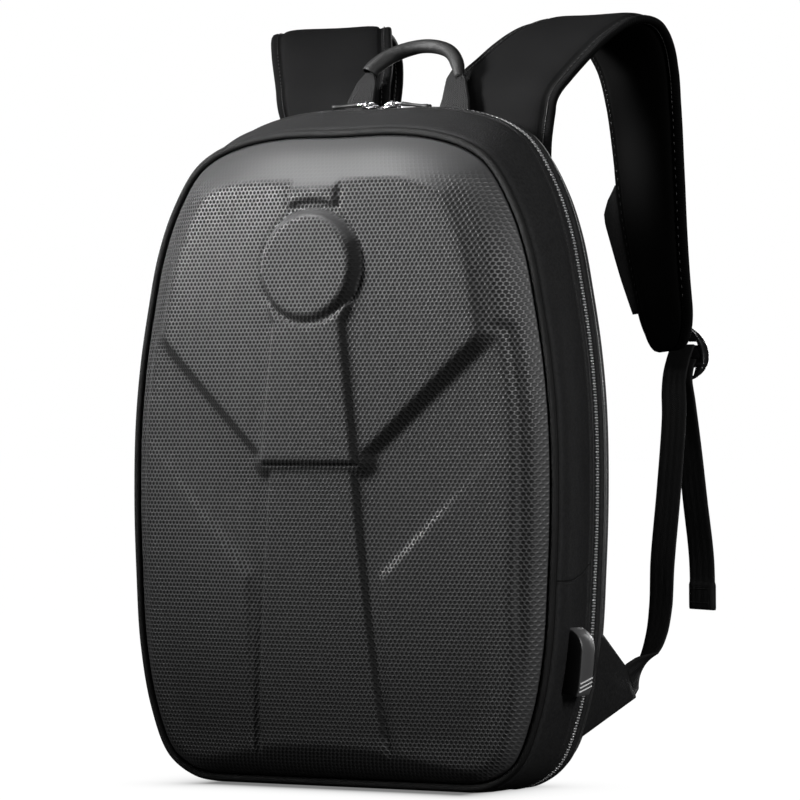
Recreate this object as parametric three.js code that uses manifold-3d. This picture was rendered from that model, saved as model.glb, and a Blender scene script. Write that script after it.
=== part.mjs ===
// Hard shell backpack: a moulded shell front on a cloth body with a padded back.
// Millimetres. The front faces -Y, +X is the viewer's right, +Z is up, and the base stands on z = 0.
import * as THREE from 'three';
import { mergeVertices } from 'three/addons/utils/BufferGeometryUtils.js';
import Module from 'manifold-3d';

const wasm = await Module();
wasm.setup();

// Driving dimensions of the bag
const RIM_WIDTH = 320;          // piping centre line, across
const RIM_HEIGHT = 426;         // piping centre line, upright
const RIM_RAISE = 3.2;          // piping centre line above the base
const BODY_WIDER = 6;           // cloth body at the zip, beyond the rim
const BODY_TALLER = 21;
const RIM_FORWARD = 40;         // plane of the shell's edge in front of the origin
const PIPING_DIAMETER = 5;
const FRONT_GUSSET_DEPTH = 44;
const ZIP_WIDTH = 9.4;
const REAR_GUSSET_DEPTH = 20;
const BACK_THICKNESS = 12;
const CLOTH_WALL = 2.5;
const SHELL_WALL = 3;
const FIT_GAP = 0.3;            // clearance between pieces that are sewn or seated together

// The shell's relief, as heights in front of its edge
const FLANK_INSET = 40;
const FLANK_RISE = 39;
const UPPER_PANEL = 40;
const LOWER_PANEL = 39.5;
const MID_BAND = 35;
const UPPER_SPINE = 43.5;
const LOWER_SPINE = 38;
const TAB_HEIGHT = 43.5;
const BOSS_RADIUS = 35;
const BOSS_HEIGHT = 46;
const BOSS_BEVEL = 5;

// Shoulder straps and their webbing
const STRAP_WIDTH = 85;
const STRAP_END_WIDTH = 58;
const STRAP_END_ROUND = 20;    // radius of the rounded corners at its end
const STRAP_THICKNESS = 11;
const STRAP_ROOT_ACROSS = 62;   // centre of a strap's sewn end from the middle of the back
const STRAP_SPREAD = 70;        // how much further out its lower end hangs
const STRAP_REACH = 117;        // how far it hangs behind the back panel
const STRAP_RISE = 67;          // crest above the body's top
const STRAP_HANG = 159;         // lower end below the body's top
const WEBBING_WIDTH = 25;
const WEBBING_THICKNESS = 1.8;
const TAIL_DROP = 158;          // free end below the ladder lock
const LOCK_WIDTH = 33;
const LOCK_HEIGHT = 39;
const LOCK_BULGE = 12;          // how far its curved back stands out
const LOCK_THICKNESS = 6;       // in the middle
const TAB_PLATE = 2.4;
const TAB_REACH = 45;           // anchor tab, from the body's corner to its tip
const TAB_ROOT_LOW = 34;        // anchor tab's sewn edge, above the base
const TAB_ROOT_HIGH = 112;
const TAB_TIP_UP = 68;          // middle of its tip above the base

// Handle, zip pulls and charging port
const HANDLE_SPAN = 74;
const HANDLE_RISE = 24;         // tube's crest above its ends
const HANDLE_LEAN = 20;
const HANDLE_DIAMETER = 9.5;
const FOOT_WIDTH = 26;
const FOOT_TOP_WIDTH = 15;
const FOOT_HEIGHT = 30;
const FOOT_THICKNESS = 3;
const FOOT_LEAN = 8;
const SLIDER_LENGTH = 13;
const SLIDER_WIDTH = 9;
const SLIDER_HEIGHT = 2.6;
const LUG_WIDTH = 1.3;
const PIN_RADIUS = 1.3;
const PULL_LENGTH = 28;
const PULL_WIDTH = 5;
const PULL_THICKNESS = 1.8;
const PORT_HEIGHT = 43;
const PORT_WIDTH = 18;
const PORT_STAND = 12;
const PORT_BASE = 65;           // its lower end above the base
const PORT_Y = -12;
const SOCKET_WIDTH = 13;
const SOCKET_HEIGHT = 6;
const SOCKET_DEPTH = 13;

const BODY_WIDTH = RIM_WIDTH + BODY_WIDER;
const BODY_HEIGHT = RIM_HEIGHT + BODY_TALLER;
const RIM_Y = -RIM_FORWARD;
const GUSSET_Y = RIM_Y + PIPING_DIAMETER / 2 + FIT_GAP;
const ZIP_Y = GUSSET_Y + FRONT_GUSSET_DEPTH + FIT_GAP;
const REAR_Y = ZIP_Y + ZIP_WIDTH + FIT_GAP;
const BACK_Y = REAR_Y + REAR_GUSSET_DEPTH + FIT_GAP;
const BACK_FACE_Y = BACK_Y + BACK_THICKNESS;

// Surface finishes

const finish = (color, roughness, metalness = 0) =>
  new THREE.MeshStandardMaterial({ color, roughness, metalness });
const SHELL_SKIN = finish(0x2b2b2c, 0.45);
const CLOTH = finish(0x232324, 0.9);
const PIPING_SKIN = finish(0x111112, 0.5);
const STRAP_CLOTH = finish(0x1d1d1e, 0.92);
const WEBBING = finish(0x151516, 0.85);
const PLASTIC = finish(0x0e0e0f, 0.4);
const METAL = finish(0x3a3a3c, 0.3, 0.9);

const group = new THREE.Group();

function piece(name, geometry, material) {
  const mesh = new THREE.Mesh(geometry, material);
  mesh.name = name;
  group.add(mesh);
  return mesh;
}

// Closed meshes from rings of points

function signedVolume(positions, indices) {
  let sum = 0;
  const [a, b, c] = [new THREE.Vector3(), new THREE.Vector3(), new THREE.Vector3()];
  for (let i = 0; i < indices.length; i += 3) {
    a.fromArray(positions, 3 * indices[i]);
    b.fromArray(positions, 3 * indices[i + 1]);
    c.fromArray(positions, 3 * indices[i + 2]);
    sum += a.dot(b.cross(c));
  }
  return sum;
}

function solid(positions, indices) {
  if (signedVolume(positions, indices) < 0) indices.reverse();
  const geometry = new THREE.BufferGeometry();
  geometry.setAttribute('position', new THREE.Float32BufferAttribute(positions, 3));
  geometry.setIndex(indices);
  return geometry;
}

// Joins rings with equal counts. An open stack gets a cap at both ends, a closed one runs back to its start.
function loft(rings, closed = false) {
  const count = rings[0].length;
  const positions = rings.flat().flatMap((p) => p.toArray());
  const indices = [];
  const steps = closed ? rings.length : rings.length - 1;
  for (let k = 0; k < steps; k += 1) {
    const near = k * count;
    const far = ((k + 1) % rings.length) * count;
    for (let i = 0; i < count; i += 1) {
      const j = (i + 1) % count;
      indices.push(near + i, near + j, far + j, near + i, far + j, far + i);
    }
  }
  if (!closed) {
    for (const [ring, turn] of [[0, 1], [rings.length - 1, -1]]) {
      const middle = positions.length / 3;
      const centre = new THREE.Vector3();
      rings[ring].forEach((p) => centre.add(p));
      centre.divideScalar(count);
      positions.push(...centre.toArray());
      for (let i = 0; i < count; i += 1) {
        const [from, to] = [ring * count + i, ring * count + (i + 1) % count];
        indices.push(middle, ...(turn > 0 ? [to, from] : [from, to]));
      }
    }
  }
  return solid(positions, indices);
}

// A section swept along a path. At each point, across and through give the section's two directions.
function sweep(stations, section) {
  return loft(stations.map((s) => section(s).map(([u, v]) =>
    s.at.clone().addScaledVector(s.across, u).addScaledVector(s.through, v))));
}

// Rounded oblong section: width w, thickness t, with two points on each rounded edge
const padSection = (w, t) => [
  [-w / 2, -0.22 * t], [-w / 2 + 0.35 * t, -t / 2], [0, -t / 2], [w / 2 - 0.35 * t, -t / 2],
  [w / 2, -0.22 * t], [w / 2, 0.22 * t], [w / 2 - 0.35 * t, t / 2], [0, t / 2],
  [-w / 2 + 0.35 * t, t / 2], [-w / 2, 0.22 * t],
];
const flatSection = (w, t) => [[-w / 2, -t / 2], [w / 2, -t / 2], [w / 2, t / 2], [-w / 2, t / 2]];

// Manifold booleans

function toManifold(geometry) {
  const merged = mergeVertices(geometry, 1e-4);
  return new wasm.Manifold(new wasm.Mesh({
    numProp: 3,
    vertProperties: new Float32Array(merged.attributes.position.array),
    triVerts: new Uint32Array(merged.index.array),
  }));
}

function fromManifold(body) {
  const mesh = body.getMesh();
  const geometry = new THREE.BufferGeometry();
  geometry.setAttribute('position', new THREE.BufferAttribute(new Float32Array(mesh.vertProperties), 3));
  geometry.setIndex(new THREE.BufferAttribute(new Uint32Array(mesh.triVerts), 1));
  return geometry;
}

function plainBox(w, d, h, x, y, z) {
  const box = new THREE.BoxGeometry(w, d, h);
  box.deleteAttribute('normal');
  box.deleteAttribute('uv');
  return box.translate(x, y, z);
}

// The outline that the rim and the cloth body share: [across, up] as shares of half width and height
const OUTLINE = [
  [0, 0], [0.33, 0], [0.6, 0], [0.71, 0.007], [0.83, 0.037], [0.915, 0.108], [0.969, 0.207], [0.99, 0.32], [1, 0.43],
  [0.994, 0.55], [0.969, 0.646], [0.931, 0.73], [0.884, 0.812], [0.8125, 0.883], [0.706, 0.946],
  [0.61, 0.972], [0.47, 0.99], [0.28, 1], [0, 1],
];
const STEPS_PER_ROW = 2;

function outline(width, height, raise) {
  const half = OUTLINE.map(([across, up]) => [across * width / 2, raise + up * height]);
  const mirrored = half.slice(1, -1).reverse().map(([x, z]) => [-x, z]);
  const rows = [...half, ...mirrored].map(([x, z]) => new THREE.Vector3(x, 0, z));
  const curve = new THREE.CatmullRomCurve3(rows, true, 'centripetal');
  const points = curve.getPoints(rows.length * STEPS_PER_ROW).slice(0, -1);
  points.forEach((p) => { p.z = Math.max(p.z, raise); });
  return points;
}

const RIM = outline(RIM_WIDTH, RIM_HEIGHT, RIM_RAISE);
const BODY = outline(BODY_WIDTH, BODY_HEIGHT, 0);

// Outward directions of a closed outline in the XZ plane
function normals(points) {
  return points.map((p, i) => {
    const next = points[(i + 1) % points.length];
    const last = points[(i + points.length - 1) % points.length];
    return new THREE.Vector3(next.z - last.z, 0, last.x - next.x).normalize();
  });
}
const RIM_OUT = normals(RIM);

// A ring at depth y: swell runs from the rim (0) to the cloth body (1), out pushes it outwards
function bodyRing(y, swell, out) {
  return RIM.map((p, i) => {
    const q = p.clone().lerp(BODY[i], swell).addScaledVector(RIM_OUT[i], out);
    return new THREE.Vector3(q.x, y, Math.max(q.z, 0));
  });
}

// A cloth wall round the bag, from rows of [depth share, swell, out]
function clothWall(startY, depth, rows) {
  const outer = rows.map(([share, swell, out]) => bodyRing(startY + share * depth, swell, out));
  const inner = rows.map(([share, swell, out]) => bodyRing(startY + share * depth, swell, out).map((p, i) => {
    const q = p.clone().addScaledVector(RIM_OUT[i], -CLOTH_WALL);
    q.z = Math.max(q.z, CLOTH_WALL);
    return q;
  }));
  return loft([...outer, ...inner.reverse()], true);
}

// Moulded shell

const HALF = RIM_WIDTH / 2;
const shareX = (share) => share * HALF;
const shareZ = (share) => RIM_RAISE + share * RIM_HEIGHT;

// How each surface of the shell falls away: drops in mm at the side, at the top and at the bottom
const FALL = {
  upper: { level: UPPER_PANEL, side: 12.8, power: 1.5, top: 9, from: 0.62, bottom: 0, to: 0 },
  mid: { level: MID_BAND, side: 16.9, power: 1.3, top: 15, from: 0.7, bottom: 15.8, to: 0.36 },
  lower: { level: LOWER_PANEL, side: 23.8, power: 1.3, top: 0, from: 1, bottom: 15.8, to: 0.36 },
  upperSpine: { level: UPPER_SPINE, side: 24, power: 2, top: 12, from: 0.62, bottom: 0, to: 0 },
  lowerSpine: { level: LOWER_SPINE, side: 24, power: 2, top: 0, from: 1, bottom: 16.6, to: 0.5 },
  tab: { level: TAB_HEIGHT, side: 12.8, power: 1.5, top: 10, from: 0.62, bottom: 0, to: 0 },
};

function level(fall, x, z) {
  const across = Math.abs(x) / HALF;
  const up = (z - RIM_RAISE) / RIM_HEIGHT;
  const top = fall.from < 1 ? Math.max(0, (up - fall.from) / (1 - fall.from)) : 0;
  const bottom = fall.to > 0 ? Math.max(0, (fall.to - up) / fall.to) : 0;
  return fall.level - fall.side * across ** fall.power - fall.top * top ** 2 - fall.bottom * bottom ** 2;
}

// Plan shapes of the raised surfaces, [across, up] as shares of the rim
const V_UPPER = [0.217, 0.5];
const V_UPPER_END = [1.25, 0.867];
const V_LOWER = [0.327, 0.318];
const V_LOWER_END = [1.25, 0.6835];
const PLANS = {
  upper: [[-V_UPPER[0], V_UPPER[1]], V_UPPER, V_UPPER_END, [1.25, 1.1], [-1.25, 1.1],
    [-V_UPPER_END[0], V_UPPER_END[1]]],
  lower: [V_LOWER, [0.354, -0.05], [1.25, -0.05], V_LOWER_END],
  lowerSpine: [[-0.175, 0.53], [-0.314, -0.05], [0.314, -0.05], [0.175, 0.53]],
  upperSpine: [[-0.21, 0.4965], [0.21, 0.4965], [0.15, 0.7066], [0.18, 0.732], [0.1, 0.76], [-0.1, 0.76],
    [-0.18, 0.732], [-0.15, 0.7066]],
};
const TAB_ACROSS = 0.105;
const TAB_ARC = 9;              // from the boss's foot to the tab's lower edge
const BOSS_UP = 0.792;
const BOSS_Z = shareZ(BOSS_UP);

const plan = (rows) => rows.map(([across, up]) => [shareX(across), shareZ(up)]);

function tabPlan() {
  const radius = BOSS_RADIUS + TAB_ARC;
  const half = shareX(TAB_ACROSS);
  const start = Math.asin(half / radius);
  const arc = [];
  for (let k = 0; k <= 4; k += 1) {
    const turn = start - (2 * start * k) / 4;
    arc.push([-radius * Math.sin(turn), BOSS_Z + radius * Math.cos(turn)]);
  }
  return [...arc, [half, shareZ(1.05)], [-half, shareZ(1.05)]];
}

const shellPoint = (x, rise, z) => new THREE.Vector3(x, RIM_Y - rise, z);

// A prism over a plan whose walls lean by draft and pass through the surface's own edge
function draftedPrism(points, fall, draft, sink) {
  const below = 11;
  const above = 6;
  const count = points.length;
  const area = points.reduce((sum, [x, z], i) => {
    const [nextX, nextZ] = points[(i + 1) % count];
    return sum + x * nextZ - nextX * z;
  }, 0);
  const turn = Math.sign(area);
  const edge = (i) => {
    const [x, z] = points[i];
    const [nextX, nextZ] = points[(i + 1) % count];
    return new THREE.Vector2(nextZ - z, x - nextX).normalize().multiplyScalar(turn);
  };
  const ring = (offset) => points.map(([x, z], i) => {
    const before = edge((i + count - 1) % count);
    const after = edge(i);
    const miter = before.clone().add(after).divideScalar(1 + before.dot(after));
    const rise = level(fall, x, z) - sink;
    return shellPoint(x - miter.x * draft * offset, rise + offset, z - miter.y * draft * offset);
  });
  return loft([ring(-below), ring(above)]);
}

// A slab whose top is one of the shell's surfaces
function crownedSlab(fall, xs, zs, sink) {
  const top = zs.map((z) => xs.map((x) => shellPoint(x, level(fall, x, z) - sink, z)));
  const floor = zs.map((z) => xs.map((x) => shellPoint(x, -10, z)));
  const positions = [...top.flat(), ...floor.flat()].flatMap((p) => p.toArray());
  const indices = [];
  const [nx, nz] = [xs.length, zs.length];
  const base = nx * nz;
  const quad = (a, b, c, d) => indices.push(a, b, c, a, c, d);
  for (let k = 0; k < nz - 1; k += 1) {
    for (let i = 0; i < nx - 1; i += 1) {
      const a = k * nx + i;
      quad(a, a + 1, a + nx + 1, a + nx);
      quad(base + a, base + a + nx, base + a + nx + 1, base + a + 1);
    }
    quad(k * nx, (k + 1) * nx, base + (k + 1) * nx, base + k * nx);
    quad((k + 1) * nx - 1, base + (k + 1) * nx - 1, base + (k + 2) * nx - 1, (k + 2) * nx - 1);
  }
  for (let i = 0; i < nx - 1; i += 1) {
    quad(i + 1, i, base + i, base + i + 1);
    quad(base - nx + i, base - nx + i + 1, 2 * base - nx + i + 1, 2 * base - nx + i);
  }
  return solid(positions, indices);
}

const spread = (from, to, count) => Array.from({ length: count + 1 }, (_, i) => from + ((to - from) * i) / count);
const crossRows = (reach, count) => spread(-shareX(reach), shareX(reach), count);
const upRows = (from, to, count) => spread(shareZ(from), shareZ(to), count);

// The flank from the shell's edge up to the panels: [inset, rise] as shares
const FLANK = [[0, 0], [0.1, 0.16], [0.2, 0.3], [0.35, 0.47], [0.525, 0.64], [0.75, 0.845], [1, 1.04], [1.02, 1.6]];
const SHELL_EDGE = PIPING_DIAMETER / 2 + FIT_GAP;

function flankSolid(sink) {
  const rings = FLANK.map(([inset, rise], k) => RIM.map((p, i) => {
    const reach = SHELL_EDGE + inset * FLANK_INSET + 0.85 * sink;
    const q = p.clone().addScaledVector(RIM_OUT[i], -reach);
    const drop = k === FLANK.length - 1 ? 0 : 0.65 * sink;
    return shellPoint(q.x, rise * FLANK_RISE - drop, q.z);
  }));
  if (sink > 0) rings.unshift(rings[0].map((p) => new THREE.Vector3(p.x, RIM_Y + 2, p.z)));
  return toManifold(loft(rings));
}

function disc(radius, topRadius, lowRise, rises, sides) {
  const ring = (r, rise) => Array.from({ length: sides }, (_, i) => {
    const turn = (2 * Math.PI * i) / sides;
    const z = BOSS_Z + r * Math.sin(turn);
    const tilt = rises.tilt * (r * Math.sin(turn)) / BOSS_RADIUS;
    return shellPoint(r * Math.cos(turn), rise - tilt, z);
  });
  return toManifold(loft([ring(radius + 3, lowRise), ring(radius, rises.top - BOSS_BEVEL * 1.4),
    ring((radius + topRadius) / 2, rises.top - BOSS_BEVEL * 0.4), ring(topRadius, rises.top)]));
}

function shellBody(sink) {
  const raised = (name, draft, xs, zs, fall = FALL[name], points = plan(PLANS[name])) =>
    toManifold(draftedPrism(points, fall, draft, sink))
      .intersect(toManifold(crownedSlab(fall, xs, zs, sink)));
  const rightLower = plan(PLANS.lower);
  const leftLower = rightLower.map(([x, z]) => [-x, z]);
  const wide = crossRows(1.4, 12);
  const narrow = crossRows(0.5, 4);
  let relief = toManifold(crownedSlab(FALL.mid, wide, upRows(-0.08, 1.12, 10), sink));
  relief = relief
    .add(raised('upper', 1, wide, upRows(0.4, 1.15, 7)))
    .add(raised('lower', 1.3, wide, upRows(-0.12, 0.8, 7), FALL.lower, rightLower))
    .add(raised('lower', 1.3, wide, upRows(-0.12, 0.8, 7), FALL.lower, leftLower))
    .add(raised('lowerSpine', 1.1, narrow, upRows(-0.12, 0.6, 5)))
    .add(raised('upperSpine', 1.1, narrow, upRows(0.4, 0.9, 4)))
    .add(raised('tab', 0.6, narrow, upRows(0.8, 1.12, 3), FALL.tab, tabPlan()));
  const boss = disc(BOSS_RADIUS - sink, BOSS_RADIUS - BOSS_BEVEL - sink, 0.43 * BOSS_HEIGHT, { top: BOSS_HEIGHT - sink, tilt: 2 },
    sink > 0 ? 16 : 28);
  return flankSolid(sink).intersect(relief).add(boss);
}

const shellGeometry = fromManifold(shellBody(0).subtract(shellBody(SHELL_WALL)));
piece('front_shell', shellGeometry, SHELL_SKIN);

// Piping: a six-sided cord along the rim
const pipingRing = (turn) => RIM.map((p, i) => {
  const q = p.clone().addScaledVector(RIM_OUT[i], (PIPING_DIAMETER / 2) * Math.cos(turn));
  return new THREE.Vector3(q.x, RIM_Y + (PIPING_DIAMETER / 2) * Math.sin(turn), q.z);
});
piece('shell_piping', loft(spread(0, 2 * Math.PI, 6).slice(0, -1).map(pipingRing), true), PIPING_SKIN);

// Cloth body: front gusset, zip and rear gusset. Rows are [depth share, swell, out].
piece('front_gusset', clothWall(GUSSET_Y, FRONT_GUSSET_DEPTH, [
  [0, 0, 2.4], [0.1, 0.12, 3], [0.5, 0.62, 1.5], [1, 1, 0],
]), CLOTH);
piece('main_zip', clothWall(ZIP_Y, ZIP_WIDTH, [[0, 1, -0.6], [0.5, 1, 0.2], [1, 1, -0.6]]), METAL);
piece('rear_gusset', clothWall(REAR_Y, REAR_GUSSET_DEPTH, [
  [0, 1, -0.3], [0.4, 1, -1.5], [0.75, 1, -4], [1, 1, -8],
]), CLOTH);

// Padded back: [depth share, out]
const BACK_ROWS = [[0, -8.4], [0.35, -8], [0.7, -11], [0.92, -19], [1, -40]];
piece('back_panel', loft(BACK_ROWS.map(([share, out]) =>
  bodyRing(BACK_Y + share * BACK_THICKNESS, 1, out))), STRAP_CLOTH);

// Half width of the cloth body at a height
function bodySide(z) {
  const side = BODY.filter((p) => p.x > 0).sort((a, b) => a.z - b.z);
  const k = Math.max(1, side.findIndex((p) => p.z >= z));
  const share = (z - side[k - 1].z) / (side[k].z - side[k - 1].z);
  return THREE.MathUtils.lerp(side[k - 1].x, side[k].x, share);
}

// Straps and webbings are modelled on the right and mirrored for the left
function mirrored(geometry) {
  const positions = Array.from(geometry.attributes.position.array, (v, i) => (i % 3 === 0 ? -v : v));
  return solid(positions, Array.from(geometry.index.array));
}

function pair(name, geometry, material) {
  piece(`${name}_left`, mirrored(geometry), material);
  piece(`${name}_right`, geometry, material);
}

// A path through rows of named columns, with each column read between its rows
function pathway(rows, place) {
  const curve = new THREE.CatmullRomCurve3(rows.map(place), false, 'centripetal');
  const column = (name, t) => {
    const spot = Math.min(t * (rows.length - 1), rows.length - 1 - 1e-9);
    const k = Math.floor(spot);
    return THREE.MathUtils.lerp(rows[k][name], rows[k + 1][name], spot - k);
  };
  // across lies level, turned about the vertical; through is square to it and to the path
  const station = (t) => {
    const along = curve.getTangent(t);
    const turn = THREE.MathUtils.degToRad(column('turn', t));
    const flat = new THREE.Vector3(Math.cos(turn), Math.sin(turn), 0);
    const through = new THREE.Vector3().crossVectors(along, flat).normalize();
    const across = new THREE.Vector3().crossVectors(through, along).normalize();
    return { at: curve.getPoint(t), along, across, through, t };
  };
  return { column, station, length: curve.getLength() };
}
const shares = (count) => spread(0, 1, count);

// Shoulder straps. Columns are shares of the named sizes: out of STRAP_SPREAD, back of STRAP_REACH, up of
// STRAP_RISE (or of STRAP_HANG below the body's top), narrow from full to end width; turn is in degrees.
const ROOT_Y = BACK_FACE_Y + FIT_GAP + STRAP_THICKNESS / 2;
const STRAP_ROWS = [
  { out: 0, back: 0, up: -0.47, narrow: 0, turn: 0 },
  { out: 0, back: 0, up: -0.27, narrow: 0, turn: 0 },
  { out: 0.01, back: 0.01, up: -0.09, narrow: 0, turn: 0 },
  { out: 0.06, back: 0.05, up: 0.16, narrow: 0, turn: 0 },
  { out: 0.19, back: 0.17, up: 0.45, narrow: 0, turn: -3 },
  { out: 0.43, back: 0.376, up: 0.79, narrow: 0, turn: -6 },
  { out: 0.62, back: 0.57, up: 0.93, narrow: 0.03, turn: -9 },
  { out: 0.69, back: 0.75, up: 0.85, narrow: 0.14, turn: -14 },
  { out: 0.73, back: 0.9, up: 0.52, narrow: 0.28, turn: -18 },
  { out: 0.76, back: 0.94, up: 0.06, narrow: 0.36, turn: -19 },
  { out: 0.83, back: 0.94, up: -0.31, narrow: 0.5, turn: -20 },
  { out: 0.91, back: 0.957, up: -0.66, narrow: 0.74, turn: -22 },
  { out: 1, back: 1, up: -1, narrow: 1, turn: -24 },
];
const strap = pathway(STRAP_ROWS, (row) => new THREE.Vector3(
  STRAP_ROOT_ACROSS + row.out * STRAP_SPREAD,
  ROOT_Y + row.back * STRAP_REACH,
  BODY_HEIGHT + row.up * (row.up > 0 ? STRAP_RISE : STRAP_HANG),
));
const strapLength = strap.length;
function strapWidth(t) {
  const full = THREE.MathUtils.lerp(STRAP_WIDTH, STRAP_END_WIDTH, strap.column('narrow', t));
  const into = Math.max(0, STRAP_END_ROUND - (1 - t) * strapLength);
  return full - 2 * (STRAP_END_ROUND - Math.sqrt(STRAP_END_ROUND ** 2 - into ** 2)) * 0.9;
}
pair('shoulder_strap', sweep([...shares(18), 0.966, 0.982, 0.993].sort((a, b) => a - b).map(strap.station), (s) =>
  padSection(strapWidth(s.t), STRAP_THICKNESS)), STRAP_CLOTH);

// Small pocket along the right strap's inner edge: [place along the strap, reach]
const POCKET_ROWS = [[0.8056, 2], [0.8333, 11], [0.8889, 13], [0.9444, 9], [0.957, 7]];
const POCKET_THICKNESS = 4;
piece('strap_pocket_right', loft(POCKET_ROWS.map(([t, reach]) => {
  const s = strap.station(t);
  const edge = -strapWidth(t) / 2 - 2 * FIT_GAP;
  return [[edge - reach, -0.7], [edge, -POCKET_THICKNESS / 2], [edge, POCKET_THICKNESS / 2], [edge - reach, 0.7]]
    .map(([u, v]) => s.at.clone().addScaledVector(s.across, u).addScaledVector(s.through, v));
})), CLOTH);

// Ladder lock: a curved plate behind the strap's end with two slots for the webbing. Its own directions are
// lockOut, away from the bag, and lockAcross, and heights are from its middle.
const STRAP_END = strap.station(1);
const LOCK_TURN = THREE.MathUtils.degToRad(STRAP_ROWS[STRAP_ROWS.length - 1].turn);
const lockAcross = new THREE.Vector3(Math.cos(LOCK_TURN), Math.sin(LOCK_TURN), 0);
const lockOut = new THREE.Vector3(-Math.sin(LOCK_TURN), Math.cos(LOCK_TURN), 0);
const byLock = (out, up) => STRAP_END.at.clone().addScaledVector(lockOut, out).add(new THREE.Vector3(0, 0, up));
const SLOT_HEIGHT = 3.6;
const SLOTS_UP = [0.154, -0.128];  // shares of the lock's height
// [height share, width share, thickness share]
const LOCK_ROWS = [[1, 0.5, 0.4], [0.88, 0.76, 0.5], [0.6, 0.95, 0.8], [0.25, 1, 1], [-0.1, 1, 1], [-0.45, 1, 0.9],
  [-0.75, 0.86, 0.65], [-0.92, 0.68, 0.45], [-1, 0.48, 0.38]];
const LOCK_CHORD = { top: STRAP_THICKNESS / 2 + 0.1, bottom: STRAP_THICKNESS / 2 + 0.75 * LOCK_BULGE };
const lockRings = LOCK_ROWS.map(([up, width, thickness]) => {
  const chord = THREE.MathUtils.lerp(LOCK_CHORD.bottom, LOCK_CHORD.top, (up + 1) / 2);
  const outer = chord + LOCK_BULGE * (1 - up * up);
  const half = width * LOCK_WIDTH / 2;
  return [[-half, -thickness], [half, -thickness], [half, -0.3 * thickness], [0.85 * half, 0],
    [-0.85 * half, 0], [-half, -0.3 * thickness]].map(([u, v]) =>
    byLock(outer + v * LOCK_THICKNESS, up * LOCK_HEIGHT / 2).addScaledVector(lockAcross, u));
});
let lockBody = toManifold(loft(lockRings));
for (const up of SLOTS_UP) {
  const slot = plainBox(WEBBING_WIDTH + 1, 5 * LOCK_BULGE, SLOT_HEIGHT, 0, 0, 0).rotateZ(LOCK_TURN);
  slot.translate(STRAP_END.at.x, STRAP_END.at.y, STRAP_END.at.z + up * LOCK_HEIGHT);
  lockBody = lockBody.subtract(toManifold(slot));
}
pair('ladder_lock', fromManifold(lockBody), PLASTIC);

// Anchor tab: a cloth triangle from the body's lower rear corner to the webbing
const TAB_TIP_Y = BACK_Y + BACK_THICKNESS / 2 + TAB_REACH;
const TAB_TIP_OUT = -8;
const TAB_TIP_SLANT = 0.7;      // the tip's edge leans back as it goes down
const tabMiddle = (TAB_ROOT_LOW + TAB_ROOT_HIGH) / 2;
const tipAcross = new THREE.Vector3(0, TAB_TIP_SLANT, -1).normalize();
const tabTip = new THREE.Vector3(bodySide(tabMiddle) + TAB_TIP_OUT, TAB_TIP_Y, TAB_TIP_UP);
const tabSections = shares(3).map((up) => {
  const z = THREE.MathUtils.lerp(TAB_ROOT_LOW, TAB_ROOT_HIGH, up);
  const root = new THREE.Vector3(bodySide(z) - 7 + FIT_GAP + TAB_PLATE / 2, BACK_Y + 2, z);
  const tip = tabTip.clone().addScaledVector(tipAcross, (0.5 - up) * (WEBBING_WIDTH + 3));
  const shift = (p, side) => p.clone().add(new THREE.Vector3(side * TAB_PLATE / 2, 0, 0));
  return [shift(root, 1), shift(tip, 1), shift(tip, -1), shift(root, -1)];
});
pair('anchor_tab', loft(tabSections), CLOTH);

// Webbing from the tab's tip up to the ladder lock: out, back and up are shares of the way to the lock, and
// twist goes from the tip's edge (0) to level (1). Its last part rises inside the lock to the upper slot.
const WEB_ROWS = [
  { out: 0, back: 0, up: 0, twist: 0 },
  { out: -0.09, back: 0.27, up: 0.03, twist: 0.2 },
  { out: -0.13, back: 0.43, up: 0.07, twist: 0.6 },
  { out: -0.09, back: 0.526, up: 0.117, twist: 0.85 },
  { out: 0, back: 0.6, up: 0.243, twist: 1 },
  { out: 0.134, back: 0.65, up: 0.395, twist: 1 },
  { out: 0.446, back: 0.8, up: 0.643, twist: 1 },
  { out: 0.76, back: 0.945, up: 0.908, twist: 1 },
  { out: 1, back: 1, up: 1, twist: 1 },
];
// [out, up] as shares of the lock's bulge and height
const WEB_INTO_LOCK = [[0.483, -0.359], [0.683, -0.154], [0.917, 0.026], [1.067, 0.113]];
const inLock = ([out, up]) => byLock(out * LOCK_BULGE, up * LOCK_HEIGHT);
const tipAlong = new THREE.Vector3().crossVectors(tipAcross, new THREE.Vector3(1, 0, 0)).normalize();
if (tipAlong.y < 0) tipAlong.negate();
const webStart = tabTip.clone().addScaledVector(tipAlong, FIT_GAP + 0.1);
const webEnd = inLock([0.375, -0.615]);
const webCurve = new THREE.CatmullRomCurve3([...WEB_ROWS.map((row) => new THREE.Vector3(
  THREE.MathUtils.lerp(webStart.x, webEnd.x, row.out),
  THREE.MathUtils.lerp(webStart.y, webEnd.y, row.back),
  THREE.MathUtils.lerp(webStart.z, webEnd.z, row.up),
)), ...WEB_INTO_LOCK.map(inLock)], false, 'centripetal');
const webSpans = WEB_ROWS.length + WEB_INTO_LOCK.length - 1;
const webStations = shares(18).map((t) => {
  const spot = t * webSpans;
  const k = Math.min(Math.floor(spot), WEB_ROWS.length - 2);
  const twist = THREE.MathUtils.lerp(WEB_ROWS[k].twist, WEB_ROWS[k + 1].twist, Math.min(spot - k, 1));
  const along = t === 0 ? tipAlong.clone() : webCurve.getTangent(t);
  const wish = tipAcross.clone().lerp(lockAcross, twist);
  const through = new THREE.Vector3().crossVectors(along, wish).normalize();
  const across = new THREE.Vector3().crossVectors(through, along).normalize();
  return { at: webCurve.getPoint(t), across, through };
});
pair('webbing', sweep(webStations, () => flatSection(WEBBING_WIDTH, WEBBING_THICKNESS)), WEBBING);

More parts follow.
